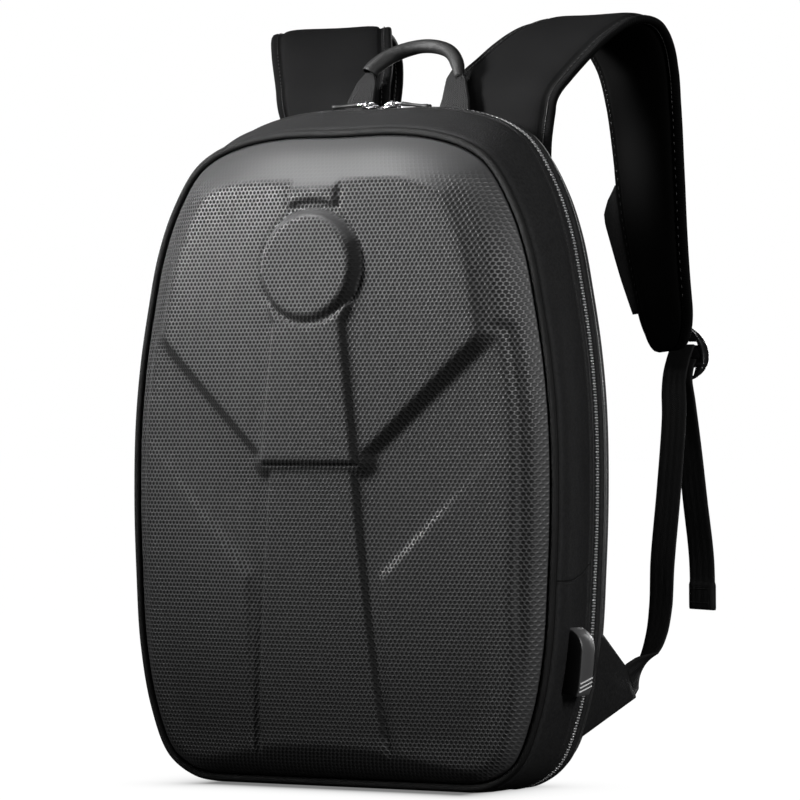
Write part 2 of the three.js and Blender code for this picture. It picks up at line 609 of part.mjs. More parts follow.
// Loose end of the webbing, from the lock's lower slot: [out, up] inside the lock, then back and down as
// shares of TAIL_DROP
const TAIL_IN_LOCK = [[1.15, -0.141], [0.95, -0.308]];
const TAIL_ROWS = [
  { back: 0, up: 0, turn: -24 },
  { back: 0.03, up: -0.1, turn: -24 },
  { back: 0.085, up: -0.3, turn: -23 },
  { back: 0.14, up: -0.53, turn: -22 },
  { back: 0.175, up: -0.78, turn: -21 },
  { back: 0.17, up: -1, turn: -21 },
];
const HEM = 1.1;
const tailStart = inLock([0.867, -0.487]);
const tailPlaces = [...TAIL_IN_LOCK.map((place) => ({ at: inLock(place), turn: TAIL_ROWS[0].turn })),
  ...TAIL_ROWS.map((row) => ({
    at: tailStart.clone().add(new THREE.Vector3(0, row.back * TAIL_DROP, row.up * TAIL_DROP)), turn: row.turn,
  }))];
const tail = pathway(tailPlaces, (row) => row.at);
pair('webbing_tail', sweep([...shares(10), 0.94, 0.945].sort((a, b) => a - b).map(tail.station), (s) =>
  flatSection(WEBBING_WIDTH, s.t > 0.94 ? WEBBING_THICKNESS + 2 * HEM : WEBBING_THICKNESS)), WEBBING);

// Top handle: two flat feet sewn on the back's top edge and a rolled tube between them
const FOOT_Y = BACK_Y + BACK_THICKNESS / 2;
const FOOT_BASE = BODY_HEIGHT - 7.2;
for (const [name, side] of [['handle_foot_left', -1], ['handle_foot_right', 1]]) {
  const rings = [[0, FOOT_WIDTH], [0.35, FOOT_WIDTH - 3], [1, FOOT_TOP_WIDTH]].map(([share, width]) =>
    flatSection(width, FOOT_THICKNESS).map(([u, v]) => new THREE.Vector3(
      side * HANDLE_SPAN / 2 + u, FOOT_Y + share * FOOT_LEAN + v, FOOT_BASE + share * FOOT_HEIGHT)));
  piece(name, loft(rings), WEBBING);
}
const HANDLE_ROWS = [[-1, 0, 0], [-0.88, 0.28, 0.4], [-0.6, 0.68, 0.78], [-0.2, 0.96, 0.98], [0.2, 0.96, 0.98],
  [0.6, 0.68, 0.78], [0.88, 0.28, 0.4], [1, 0, 0]];
const tubeZ = FOOT_BASE + FOOT_HEIGHT + FIT_GAP;
const handlePath = new THREE.CatmullRomCurve3(HANDLE_ROWS.map(([across, lean, rise]) => new THREE.Vector3(
  across * HANDLE_SPAN / 2, FOOT_Y + FOOT_LEAN + lean * HANDLE_LEAN, tubeZ + rise * HANDLE_RISE)), false,
'centripetal');
const octagon = spread(0, 2 * Math.PI, 8).slice(0, -1)
  .map((turn) => [HANDLE_DIAMETER / 2 * Math.cos(turn), HANDLE_DIAMETER / 2 * Math.sin(turn)]);
piece('top_handle', sweep(shares(12).map((t) => {
  const along = t === 0 || t === 1 ? new THREE.Vector3(0, 0, t === 0 ? 1 : -1) : handlePath.getTangent(t);
  const through = new THREE.Vector3().crossVectors(along, new THREE.Vector3(0, 1, 0)).normalize();
  return { at: handlePath.getPoint(t), across: through, through: through.clone().cross(along) };
}), () => octagon), STRAP_CLOTH);

// Zip sliders with hinged pulls, meeting at the middle of the top
const ZIP_TOP = BODY_HEIGHT + 0.2;
const SLIDER_MIDDLE = SLIDER_LENGTH / 2 + 1.5;
const SLIDER_Y = ZIP_Y + ZIP_WIDTH / 2;
const PIN_Z = ZIP_TOP + FIT_GAP + SLIDER_HEIGHT + FIT_GAP + PIN_RADIUS;
const pinTube = (radius, length) => {
  const tube = new THREE.CylinderGeometry(radius, radius, length, 10);
  tube.deleteAttribute('normal');
  tube.deleteAttribute('uv');
  return mergeVertices(tube, 1e-4);
};
for (const [letter, side] of [['a', -1], ['b', 1]]) {
  const x = side * SLIDER_MIDDLE;
  const pinX = x + side * 2;
  const lugY = PULL_WIDTH / 2 + FIT_GAP + LUG_WIDTH / 2;
  const lowZ = ZIP_TOP + FIT_GAP;
  let slider = toManifold(plainBox(SLIDER_LENGTH, SLIDER_WIDTH, SLIDER_HEIGHT, x, SLIDER_Y, lowZ + SLIDER_HEIGHT / 2));
  for (const edge of [-1, 1]) {
    const lugTop = PIN_Z + PIN_RADIUS;
    slider = slider.add(toManifold(plainBox(2.6 * PIN_RADIUS, LUG_WIDTH, lugTop - lowZ, pinX,
      SLIDER_Y + edge * lugY, (lugTop + lowZ) / 2)));
  }
  piece(`zip_slider_${letter}`, fromManifold(slider), METAL);
  const fall = PIN_Z - ZIP_TOP - FIT_GAP - PULL_THICKNESS / 2;
  const bar = plainBox(PULL_LENGTH, PULL_WIDTH, PULL_THICKNESS, PULL_LENGTH / 2, 0, 0);
  const tilt = Math.asin(fall / PULL_LENGTH);
  bar.rotateY(tilt);
  if (side < 0) bar.rotateZ(Math.PI);
  bar.translate(pinX, SLIDER_Y, PIN_Z);
  const eye = pinTube(PIN_RADIUS, PULL_WIDTH).translate(pinX, SLIDER_Y, PIN_Z);
  piece(`zip_pull_${letter}`, fromManifold(toManifold(bar).add(toManifold(eye))), PLASTIC);
}

// Charging port: a moulded housing on the right gusset, its socket facing down
const portProfile = new THREE.Shape();
const portInside = -10;         // reaches into the wall, where the wall's own surface cuts it off
portProfile.moveTo(portInside, 0);
portProfile.lineTo(PORT_STAND, 0);
portProfile.lineTo(PORT_STAND + 1, 0.12 * PORT_HEIGHT);
portProfile.lineTo(PORT_STAND, 0.7 * PORT_HEIGHT);
portProfile.quadraticCurveTo(PORT_STAND - 0.5, PORT_HEIGHT, 0, PORT_HEIGHT);
portProfile.lineTo(portInside, PORT_HEIGHT);
portProfile.closePath();
const portShape = new THREE.ExtrudeGeometry(portProfile, { depth: PORT_WIDTH, bevelEnabled: false, curveSegments: 5 });
portShape.deleteAttribute('normal');
portShape.deleteAttribute('uv');
portShape.rotateX(Math.PI / 2).translate(0, PORT_WIDTH / 2, 0);
const portLean = Math.atan2(bodySide(PORT_BASE + PORT_HEIGHT) - bodySide(PORT_BASE), PORT_HEIGHT);
const socket = plainBox(SOCKET_HEIGHT, SOCKET_WIDTH, 2 * SOCKET_DEPTH, PORT_STAND / 2 + 0.6, 0, 0);
const place = (geometry) => geometry.rotateY(portLean).translate(bodySide(PORT_BASE), PORT_Y, PORT_BASE);
const GUSSET_ROWS = [[-0.1, 0, 3], [0.1, 0.12, 3], [0.5, 0.62, 1.5], [1, 1, 0]];
const wallBlock = loft(GUSSET_ROWS.map(([share, swell, out]) =>
  bodyRing(GUSSET_Y + share * FRONT_GUSSET_DEPTH, swell, out + FIT_GAP)));
piece('charging_port', fromManifold(toManifold(place(portShape)).subtract(toManifold(place(socket)))
  .subtract(toManifold(wallBlock))), PLASTIC);

export default group;
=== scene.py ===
# Hard shell backpack: a moulded front shell on a cloth body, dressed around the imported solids.
# Metres in the scene. Sizes are written in millimetres and scaled by MM where a mesh is made.
import math

import bpy
import numpy as np
from mathutils import Matrix, Vector


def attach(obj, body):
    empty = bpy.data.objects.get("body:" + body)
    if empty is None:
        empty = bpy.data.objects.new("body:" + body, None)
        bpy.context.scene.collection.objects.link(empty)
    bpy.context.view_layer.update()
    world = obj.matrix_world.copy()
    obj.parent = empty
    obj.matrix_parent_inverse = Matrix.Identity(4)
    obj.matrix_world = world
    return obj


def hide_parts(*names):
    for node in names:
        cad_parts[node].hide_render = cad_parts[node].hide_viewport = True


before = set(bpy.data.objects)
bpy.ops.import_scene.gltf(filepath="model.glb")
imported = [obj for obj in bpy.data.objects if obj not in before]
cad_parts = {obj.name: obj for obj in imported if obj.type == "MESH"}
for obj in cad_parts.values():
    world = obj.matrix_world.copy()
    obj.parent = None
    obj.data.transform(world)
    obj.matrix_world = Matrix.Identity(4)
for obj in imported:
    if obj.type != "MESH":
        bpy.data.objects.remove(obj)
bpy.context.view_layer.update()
MM = 0.001

# Studio and camera
# White surroundings and a white floor with a painted soft contact shadow, a soft light high on the left, a
# strip on the right that draws the bright edge of the shell, a box overhead for its upper flank, and one
# behind that keeps the back from going black.
CAMERA_AZIMUTH = math.radians(31.35)
CAMERA_ELEVATION = math.radians(-0.25)
CAMERA_DISTANCE = 3.020
CAMERA_LENS = 207.25
RIM_CENTRE = Vector((0, -0.040, 0.2462))
AIM_RIGHT = 0.0387
AIM_UP = 0.0079

scene = bpy.context.scene
scene.view_settings.view_transform = "Standard"
camera_right = Vector((math.cos(CAMERA_AZIMUTH), math.sin(CAMERA_AZIMUTH), 0))
camera_back = Vector((
    math.sin(CAMERA_AZIMUTH) * math.cos(CAMERA_ELEVATION),
    -math.cos(CAMERA_AZIMUTH) * math.cos(CAMERA_ELEVATION),
    math.sin(CAMERA_ELEVATION),
))
camera = bpy.data.objects.new("camera", bpy.data.cameras.new("camera"))
scene.collection.objects.link(camera)
camera.data.lens = CAMERA_LENS
camera.data.sensor_width = 36
camera.data.clip_end = 100
camera.location = RIM_CENTRE + camera_back * CAMERA_DISTANCE
aim = RIM_CENTRE + camera_right * AIM_RIGHT + Vector((0, 0, AIM_UP))
camera.rotation_mode = "QUATERNION"
camera.rotation_quaternion = (aim - camera.location).to_track_quat("-Z", "Y")
scene.camera = camera


class Value:
    """A node's output that changes over a surface, so that sums on it are written as maths."""

    def __init__(self, finish, socket):
        self.finish = finish
        self.socket = socket

    def maths(self, operation, *others):
        return self.finish.node("ShaderNodeMath", {"operation": operation}, [self, *others])

    def __add__(self, other):
        return self.maths("ADD", other)

    __radd__ = __add__

    def __mul__(self, other):
        return self.maths("MULTIPLY", other)

    __rmul__ = __mul__

    def __sub__(self, other):
        return self.maths("SUBTRACT", other)

    def __rsub__(self, other):
        return self.finish.node("ShaderNodeMath", {"operation": "SUBTRACT"}, [other, self])

    def __truediv__(self, other):
        return self.maths("DIVIDE", other)

    def least(self, other):
        return self.maths("MINIMUM", other)

    def most(self, other):
        return self.maths("MAXIMUM", other)

    def wave(self, period):
        """A sine of this value: 1 at its crests and -1 between them."""
        return (self * (2 * math.pi / period)).maths("SINE")

    def from_nearest(self, period):
        """Signed distance from the nearest multiple of period."""
        return ((self / period + 0.5).maths("FRACT") - 0.5) * period

    def step(self, low, high):
        """0 below low, 1 above high, smooth between."""
        settings = {"interpolation_type": "SMOOTHSTEP"}
        return self.finish.node("ShaderNodeMapRange", settings, [self, low, high, 0.0, 1.0])

    def band(self, middle, half, soft):
        """1 within half of middle, falling to 0 over soft."""
        return 1 - (self - middle).maths("ABSOLUTE").step(half, half + soft)


class Finish:
    """A material whose nodes are made by one method."""

    def __init__(self, name, roughness=0.6, **settings):
        self.material = bpy.data.materials.new(name)
        self.material.use_nodes = True
        self.tree = self.material.node_tree
        self.surface = self.tree.nodes["Principled BSDF"]
        self.surface.inputs["Roughness"].default_value = roughness
        for socket, value in settings.items():
            self.surface.inputs[socket.replace("_", " ")].default_value = value

    def node(self, kind, settings=None, inputs=(), output=0):
        """A node of this kind: settings first, then inputs, by number in a list or by name in a dict."""
        made = self.tree.nodes.new(kind)
        for key, value in (settings or {}).items():
            setattr(made, key, value)
        pairs = inputs.items() if isinstance(inputs, dict) else enumerate(inputs)
        for key, value in pairs:
            if isinstance(value, Value):
                self.tree.links.new(value.socket, made.inputs[key])
            else:
                made.inputs[key].default_value = value
        return Value(self, made.outputs[output])

    def place(self):
        """The Object coordinates x, y and z, in millimetres."""
        spot = self.node("ShaderNodeTexCoord", output="Object")
        parts = self.node("ShaderNodeSeparateXYZ", inputs=[spot])
        outputs = parts.socket.node.outputs
        return [Value(self, outputs[axis]) * (1 / MM) for axis in "XYZ"]

    def pattern(self):
        """The piece's own UV map, along and across it, in millimetres."""
        spot = self.node("ShaderNodeUVMap", {"uv_map": "pattern"})
        parts = self.node("ShaderNodeSeparateXYZ", inputs=[spot])
        outputs = parts.socket.node.outputs
        return Value(self, outputs["X"]) * (1 / MM), Value(self, outputs["Y"]) * (1 / MM)

    def mark(self, label):
        """A value that is kept on the piece's own points."""
        return self.node("ShaderNodeAttribute", {"attribute_name": label}, output="Fac")

    def cloud(self, size):
        """Even noise, 0 to 1, with features about size millimetres across."""
        spot = self.node("ShaderNodeTexCoord", output="Object")
        inputs = {"Vector": spot, "Scale": 1.0 / (size * MM), "Detail": 2.0}
        return self.node("ShaderNodeTexNoise", inputs=inputs)

    def mix(self, share, first, second):
        """A colour between two, by share."""
        colours = [c if isinstance(c, Value) else (*c, 1.0) for c in (first, second)]
        inputs = {0: share, 6: colours[0], 7: colours[1]}
        return self.node("ShaderNodeMix", {"data_type": "RGBA"}, inputs, output=2)

    def colour(self, value):
        if isinstance(value, Value):
            self.tree.links.new(value.socket, self.surface.inputs["Base Color"])
        else:
            self.surface.inputs["Base Color"].default_value = (*value, 1.0)

    def roughness(self, value):
        self.tree.links.new(value.socket, self.surface.inputs["Roughness"])

    def relief(self, height):
        """Bump from a height in millimetres."""
        bump = self.node("ShaderNodeBump", inputs={"Strength": 1.0, "Distance": MM, "Height": height})
        self.tree.links.new(bump.socket, self.surface.inputs["Normal"])


FLOOR_HALF = 30.0
floor_mesh = bpy.data.meshes.new("floor")
floor_mesh.from_pydata(
    [(-FLOOR_HALF, -FLOOR_HALF, 0), (FLOOR_HALF, -FLOOR_HALF, 0),
     (FLOOR_HALF, FLOOR_HALF, 0), (-FLOOR_HALF, FLOOR_HALF, 0)], [], [(0, 1, 2, 3)])
floor = bpy.data.objects.new("floor", floor_mesh)
scene.collection.objects.link(floor)
# Painted shadow: the floor's colour darkens near the bag's footprint, with a tight dark part and a wide
# faint one.
SHADOW_HALF = (0.096, 0.040)
SHADOW_MIDDLE = -0.012
SHADOW_REACH = 0.016
SHADOW_DARK = 0.76
WIDE_SHADOW_REACH = 0.05
WIDE_SHADOW_DARK = 0.05
floor_finish = Finish("floor_paper", roughness=1.0, Specular_IOR_Level=0.0)
floor_finish.colour((0.05, 0.05, 0.05))
ground = [part * MM for part in floor_finish.place()]
beside = (ground[0].maths("ABSOLUTE") - SHADOW_HALF[0]).most(0)
before = ((ground[1] - SHADOW_MIDDLE).maths("ABSOLUTE") - SHADOW_HALF[1]).most(0)
away = (beside * beside + before * before).maths("SQRT")
shadow = (away * (-1 / SHADOW_REACH)).maths("EXPONENT") * SHADOW_DARK
wide_painted_shadow = (away * (-1 / WIDE_SHADOW_REACH)).maths("EXPONENT") * WIDE_SHADOW_DARK
lit = 1 - shadow - wide_painted_shadow
paper_with_painted_shadow = floor_finish.mix(lit, (0, 0, 0), (1, 1, 1))
floor_finish.tree.links.new(paper_with_painted_shadow.socket, floor_finish.surface.inputs["Emission Color"])
to_camera = floor_finish.node("ShaderNodeLightPath", output="Is Camera Ray")
floor_finish.tree.links.new(to_camera.socket, floor_finish.surface.inputs["Emission Strength"])
floor_mesh.materials.append(floor_finish.material)

# The camera sees white all round, while what reaches the bag from there is much weaker.
AMBIENT = 0.03
world = bpy.data.worlds.new("studio")
scene.world = world
world.use_nodes = True
surroundings = world.node_tree.nodes["Background"]
surroundings.inputs["Color"].default_value = (1, 1, 1, 1)
seen = world.node_tree.nodes.new("ShaderNodeLightPath")
strength = world.node_tree.nodes.new("ShaderNodeMapRange")
strength.inputs["To Min"].default_value = AMBIENT
strength.inputs["To Max"].default_value = 1.0
world.node_tree.links.new(seen.outputs["Is Camera Ray"], strength.inputs["Value"])
world.node_tree.links.new(strength.outputs["Result"], surroundings.inputs["Strength"])

# name: [place, aimed at, width, height, watts]. The key light is narrowed, to fade towards the base.
LIGHTS = {
    "key_softbox": [(-1.25, -1.2, 1.0), (-0.07, -0.07, 0.545), 0.4, 0.5, 2.95],
    "right_strip": [(1.9, -0.77, 0.95), (0.14, -0.05, 0.40), 0.14, 0.7, 26],
    "top_box": [(-0.5, -0.34, 1.5), (-0.05, -0.07, 0.42), 0.7, 0.4, 7.6],
    "back_fill": [(-0.25, 1.9, 0.5), (0, 0.05, 0.28), 1.0, 0.7, 26],
}
KEY_SPREAD = math.radians(25.5)
for name, (spot, target, width, height, watts) in LIGHTS.items():
    lamp = bpy.data.lights.new(name, "AREA")
    lamp.shape = "RECTANGLE"
    lamp.size, lamp.size_y, lamp.energy = width, height, watts
    lamp.spread = KEY_SPREAD if name == "key_softbox" else math.pi
    light = bpy.data.objects.new(name, lamp)
    light.location = spot
    light.rotation_mode = "QUATERNION"
    light.rotation_quaternion = (Vector(target) - Vector(spot)).to_track_quat("-Z", "Y")
    scene.collection.objects.link(light)

# Outline of the bag
# The shell's edge and the cloth body share one rounded outline, flat underneath and fuller at mid height.
RIM_WIDTH = 320
RIM_HEIGHT = 426
RIM_RAISE = 3.2
BODY_WIDTH = 326
BODY_HEIGHT = 447
RIM_Y = -40
PIPING = 5
FIT_GAP = 0.3
# [across, up] as shares of half width and height
OUTLINE = [
    [0, 0], [0.33, 0], [0.6, 0], [0.71, 0.007], [0.83, 0.037], [0.915, 0.108], [0.969, 0.207],
    [0.99, 0.32], [1, 0.43], [0.994, 0.55], [0.969, 0.646], [0.931, 0.73], [0.884, 0.812],
    [0.8125, 0.883], [0.706, 0.946], [0.61, 0.972], [0.47, 0.99], [0.28, 1], [0, 1],
]


def between(before, start, end, after, t):
    """The place at t, from 0 to 1, on the smooth curve that leads from start to end past its neighbours."""
    legs = ((before, start), (start, end), (end, after))
    gaps = [max(np.linalg.norm(b - a) ** 0.5, 1e-4) for a, b in legs]
    leave = (start - before) / gaps[0] - (end - before) / (gaps[0] + gaps[1]) + (end - start) / gaps[1]
    reach = (end - start) / gaps[1] - (after - start) / (gaps[1] + gaps[2]) + (after - end) / gaps[2]
    leave, reach = leave * gaps[1], reach * gaps[1]
    return ((2 * t**3 - 3 * t**2 + 1) * start + (t**3 - 2 * t**2 + t) * leave
            + (3 * t**2 - 2 * t**3) * end + (t**3 - t**2) * reach)


def smooth_loop(rows, steps):
    """A closed smooth curve through rows of points, with even steps between each two rows."""
    rows = np.array(rows, float)
    count = len(rows)
    found = []
    for k in range(count):
        near = [rows[(k + j) % count] for j in (-1, 0, 1, 2)]
        found += [between(*near, t) for t in np.arange(steps) / steps]
    return np.array(found)


def outline(width, height, raised, steps=12):
    half = [[across * width / 2, raised + up * height] for across, up in OUTLINE]
    mirrored = [[-x, z] for x, z in half[-2:0:-1]]
    points = smooth_loop(half + mirrored, steps)
    points[:, 1] = np.maximum(points[:, 1], raised)
    return points


def outward(points):
    """Unit directions out of a closed outline that runs anticlockwise."""
    along = np.roll(points, -1, 0) - np.roll(points, 1, 0)
    out = np.stack([along[:, 1], -along[:, 0]], 1)
    return out / np.linalg.norm(out, axis=1, keepdims=True)


def walk_round(ring):
    """The distance round a closed ring to each of its points, and at last back to the first."""
    closed = np.vstack([ring, ring[:1]])
    return np.concatenate([[0], np.cumsum(np.linalg.norm(np.diff(closed, axis=0), axis=1))])


def even(points, count):
    """The same closed outline with evenly spaced points."""
    walked = walk_round(points)
    closed = np.vstack([points, points[:1]])
    places = np.linspace(0, walked[-1], count, endpoint=False)
    return np.stack([np.interp(places, walked, closed[:, k]) for k in range(2)], 1)


RIM = outline(RIM_WIDTH, RIM_HEIGHT, RIM_RAISE)
RIM_OUT = outward(RIM)


def mesh_piece(name, points, faces, finish, uv=None):
    """An object from points in millimetres. uv is the place of each face corner in the pattern."""
    mesh = bpy.data.meshes.new(name)
    mesh.from_pydata((np.asarray(points, float) * MM).tolist(), [], faces)
    if uv is not None:
        layer = mesh.uv_layers.new(name="pattern")
        layer.data.foreach_set("uv", (np.asarray(uv, float) * MM).ravel())
    mesh.materials.append(finish.material)
    mesh.validate()
    mesh.update()
    mesh.shade_smooth()
    piece = bpy.data.objects.new(name, mesh)
    scene.collection.objects.link(piece)
    return piece


def stack(name, rings, finish, wrap=False, uv=None):
    """A closed surface over rings of equally many points. wrap joins the last ring to the first, and without
    it both ends are capped. uv has a pair (along, across) for each point, plus a seam column."""
    rings = np.asarray(rings, float)
    levels, count = rings.shape[:2]
    points = rings.reshape(-1, 3)
    faces = []
    corners = []
    for k in range(levels if wrap else levels - 1):
        near, far = k * count, ((k + 1) % levels) * count
        for i in range(count):
            j = (i + 1) % count
            faces.append((near + i, near + j, far + j, far + i))
            if uv is not None:
                corners += [uv[k][i], uv[k][i + 1], uv[k + 1][i + 1], uv[k + 1][i]]
    if not wrap:
        for ring in (0, levels - 1):
            middle = len(points)
            points = np.vstack([points, rings[ring].mean(0)])
            for i in range(count):
                pair = (ring * count + i, ring * count + (i + 1) % count)
                faces.append((middle, *(pair[::-1] if ring == 0 else pair)))
                if uv is not None:
                    corners += [uv[ring][i]] * 3
    if sum_volume(points, faces) < 0:
        faces = [face[::-1] for face in faces]
        if uv is not None:
            ends = np.cumsum([len(face) for face in faces])
            corners = [corner for end, face in zip(ends, faces)
                       for corner in corners[end - len(face):end][::-1]]
    return mesh_piece(name, points, faces, finish, corners if uv is not None else None)


def sum_volume(points, faces):
    """Six times the volume that the four-sided faces close off, negative where they point inwards."""
    quads = np.array([face for face in faces if len(face) == 4])
    a, b, c, d = (points[quads[:, k]] for k in range(4))
    return np.einsum("ij,ij->i", a, np.cross(b, c)).sum() + np.einsum("ij,ij->i", a, np.cross(c, d)).sum()


# Moulded shell
# Pressed foam board faced with a dotted skin: panels in steps, two V-shaped ridges, a round boss and a
# small tab above it. Its heights follow the solid's, with every edge rounded as a press leaves it.
SHELL_EDGE = PIPING / 2 + FIT_GAP
SHELL_WALL = 3
FLANK_INSET = 40
FLANK_RISE = 39
FLANK_SMOOTH = 3
# the sloping side, as shares of its inset and rise
FLANK = [[0, 0], [0.1, 0.16], [0.2, 0.3], [0.35, 0.47], [0.525, 0.64], [0.75, 0.845], [1, 1.04], [1.6, 1.5],
         [6, 3]]
# level, then drops: at the side and its power, at the top and its start, at the bottom and its end
SURFACES = {
    "upper": [40, 12.8, 1.5, 9, 0.62, 0, 0],
    "mid": [35, 16.9, 1.3, 15, 0.7, 15.8, 0.36],
    "lower": [39.5, 23.8, 1.3, 0, 1, 15.8, 0.36],
    "upper_spine": [45.5, 24, 2, 12, 0.62, 0, 0],
    "lower_spine": [39.3, 24, 2, 0, 1, 16.6, 0.5],
    "tab": [43.5, 12.8, 1.5, 10, 0.62, 0, 0],
}
TAB_ACROSS = 0.105
TAB_ARC = 9
TAB_TOP = 1.05
TAB_LEAN = 0.6
BOSS_UP = 0.792
BOSS_RADIUS = 35
BOSS_HEIGHT = 46
BOSS_BEVEL = 4
# [across, up] as shares of the rim, and how far each wall leans for its height
PLANS = {
    "upper": ([[-0.217, 0.5], [0.217, 0.5], [1.25, 0.867], [1.25, 1.1], [-1.25, 1.1],
               [-1.25, 0.867]], 1.0),
    "lower_right": ([[0.327, 0.318], [0.354, -0.05], [1.25, -0.05], [1.25, 0.6835]], 1.3),
    "lower_left": ([[-0.327, 0.318], [-1.25, 0.6835], [-1.25, -0.05], [-0.354, -0.05]], 1.3),
    "lower_spine": ([[-0.175, 0.53], [-0.314, -0.05], [0.314, -0.05], [0.175, 0.53]], 1.1),
    "upper_spine": ([[-0.21, 0.4965], [0.21, 0.4965], [0.15, 0.7066], [0.18, 0.732], [0.1, 0.76],
                     [-0.1, 0.76], [-0.18, 0.732], [-0.15, 0.7066]], 1.1),
}
EDGE_ROUND = 1.0
CREASE_ROUND = 1.4
FLANK_ROUND = 1.9
# depth and half width of the creases that the press leaves beside a form
SPINE_CREASE = [1.0, 1.6]
BOSS_CREASE = [2.0, 1.7]
EDGE_CREASE = [2.2, 3.6]
# how far outside the forms those creases run
SPINE_CREASE_OUT = 3.2
TAB_CREASE_OUT = 2.4
BOSS_CREASE_OUT = 2

half_width = RIM_WIDTH / 2
boss_z = RIM_RAISE + BOSS_UP * RIM_HEIGHT


def surface(name, x, z):
    """Height of one of the bowed surfaces that the panels are cut from."""
    level, side, power, top, start, bottom, stop = SURFACES[name]
    across = np.abs(x) / half_width
    up = (z - RIM_RAISE) / RIM_HEIGHT
    above = np.maximum(0, (up - start) / (1 - start)) if start < 1 else 0
    below = np.maximum(0, (stop - up) / stop) if stop > 0 else 0
    return level - side * across**power - top * above**2 - bottom * below**2


def beyond(points, x, z):
    """Signed distance outside a closed plan."""
    inside = np.zeros(x.shape, bool)
    nearest = np.full(x.shape, 1e9)
    for (ax, az), (bx, bz) in zip(points, points[1:] + points[:1]):
        dx, dz = bx - ax, bz - az
        share = np.clip(((x - ax) * dx + (z - az) * dz) / (dx * dx + dz * dz), 0, 1)
        nearest = np.minimum(nearest, np.hypot(x - ax - share * dx, z - az - share * dz))
        crosses = (az > z) != (bz > z)
        inside ^= crosses & (x < ax + (z - az) * dx / (dz if dz else 1e-9))
    return np.where(inside, -nearest, nearest)


def higher(a, b, soft):
    return 0.5 * (a + b + np.sqrt((a - b) ** 2 + soft**2))


def lower(a, b, soft):
    return 0.5 * (a + b - np.sqrt((a - b) ** 2 + soft**2))


def crease(away, form):
    """A narrow dip where away is near 0."""
    return form[0] * np.exp(-(away / form[1]) ** 2)


def tab_plan():
    """Outline of the tab: an arc round the boss below, and two upright sides."""
    radius = BOSS_RADIUS + TAB_ARC
    half = TAB_ACROSS * half_width
    start = math.asin(half / radius)
    arc = [[-radius * math.sin(start * turn), boss_z + radius * math.cos(start * turn)]
           for turn in np.linspace(1, -1, 9)]
    top = RIM_RAISE + TAB_TOP * RIM_HEIGHT
    return arc + [[half, top], [-half, top]]


def panel_height(x, z):
    """Height of the shell's panels in front of its edge."""
    height = surface("mid", x, z)
    for name, (rows, lean) in PLANS.items():
        plan = [[across * half_width, RIM_RAISE + up * RIM_HEIGHT] for across, up in rows]
        wall = higher(beyond(plan, x, z) / lean, 0, EDGE_ROUND) - EDGE_ROUND / 4
        form = surface(name.replace("_right", "").replace("_left", ""), x, z) - wall
        height = higher(height, form, CREASE_ROUND)
        if name.endswith("spine"):
            height = height - crease(beyond(plan, x, z) - SPINE_CREASE_OUT, SPINE_CREASE)
    outside_tab = beyond(tab_plan(), x, z)
    height = height - crease(outside_tab - TAB_CREASE_OUT, SPINE_CREASE)
    wall = higher(outside_tab / TAB_LEAN, 0, EDGE_ROUND)
    return higher(height, surface("tab", x, z) - wall, CREASE_ROUND)


def boss(x, z):
    """Height of the boss: a face a little higher at its foot, a rounded edge and a steep fall outside."""
    out = np.hypot(x, z - boss_z)
    face = BOSS_HEIGHT - 2 * (z - boss_z) / BOSS_RADIUS
    over = np.maximum(0, out - (BOSS_RADIUS - BOSS_BEVEL))
    return face - 0.9 * over**1.6 / 2.2 - 60 * np.maximum(0, out - BOSS_RADIUS - 3)


def from_edge(x, z):
    """Distance inside the shell's edge."""
    nearest = np.full(x.shape, 1e9)
    for (ax, az), (bx, bz) in zip(RIM[::2], np.roll(RIM[::2], -1, 0)):
        dx, dz = bx - ax, bz - az
        share = np.clip(((x - ax) * dx + (z - az) * dz) / (dx * dx + dz * dz + 1e-9), 0, 1)
        nearest = np.minimum(nearest, np.hypot(x - ax - share * dx, z - az - share * dz))
    return np.maximum(nearest - SHELL_EDGE, 0)


def flank(inset):
    """Height of the sloping side for a distance inside the edge, smoothed over the table's rows."""
    table = np.array(FLANK) * [FLANK_INSET, FLANK_RISE]
    offsets = np.linspace(-FLANK_SMOOTH, FLANK_SMOOTH, 7)
    near_edge = np.minimum(1, inset / (2 * FLANK_SMOOTH))
    heights = [np.interp(np.maximum(inset + offset * near_edge, 0), *table.T)
               for offset in offsets]
    return np.mean(heights, axis=0)


def shell_height(x, z):
    """Height of the shell: panels cut off by the sloping side, the boss, and creases beside both."""
    side, panels = flank(from_edge(x, z)), panel_height(x, z)
    # the crease along the sloping side fades towards the middle and the base
    beside = np.clip(np.abs(x) / half_width * 2.2 - 0.9, 0, 1) * np.clip((z - 60) / 60, 0, 1)
    height = lower(side, panels, FLANK_ROUND) - beside * crease(panels - side - 3, EDGE_CREASE)
    height = height - crease(np.hypot(x, z - boss_z) - BOSS_RADIUS - BOSS_CREASE_OUT, BOSS_CREASE)
    return higher(height, boss(x, z), 1.0)


SHELL_TURNS = 600
SHELL_RINGS = 130
LINING_RINGS = 10
shell_finish = Finish("dotted_skin", roughness=0.42, Specular_IOR_Level=0.5)
x_mm, y_mm, z_mm = shell_finish.place()
DOT_PITCH = 2.98
DOT_ROW = DOT_PITCH * math.sqrt(3) / 2
DOT_RADIUS = 1.07
DOT_SOFT = 0.38


def dot_distance(x, z):
    """Distance from the nearest dot of a hexagonal pattern."""
    found = []
    for shift_x, shift_z in ((0, 0), (DOT_PITCH / 2, DOT_ROW)):
        dx = (x + shift_x).from_nearest(DOT_PITCH)
        dz = (z + shift_z).from_nearest(2 * DOT_ROW)
        found.append((dx * dx + dz * dz).maths("SQRT"))
    return found[0].least(found[1])


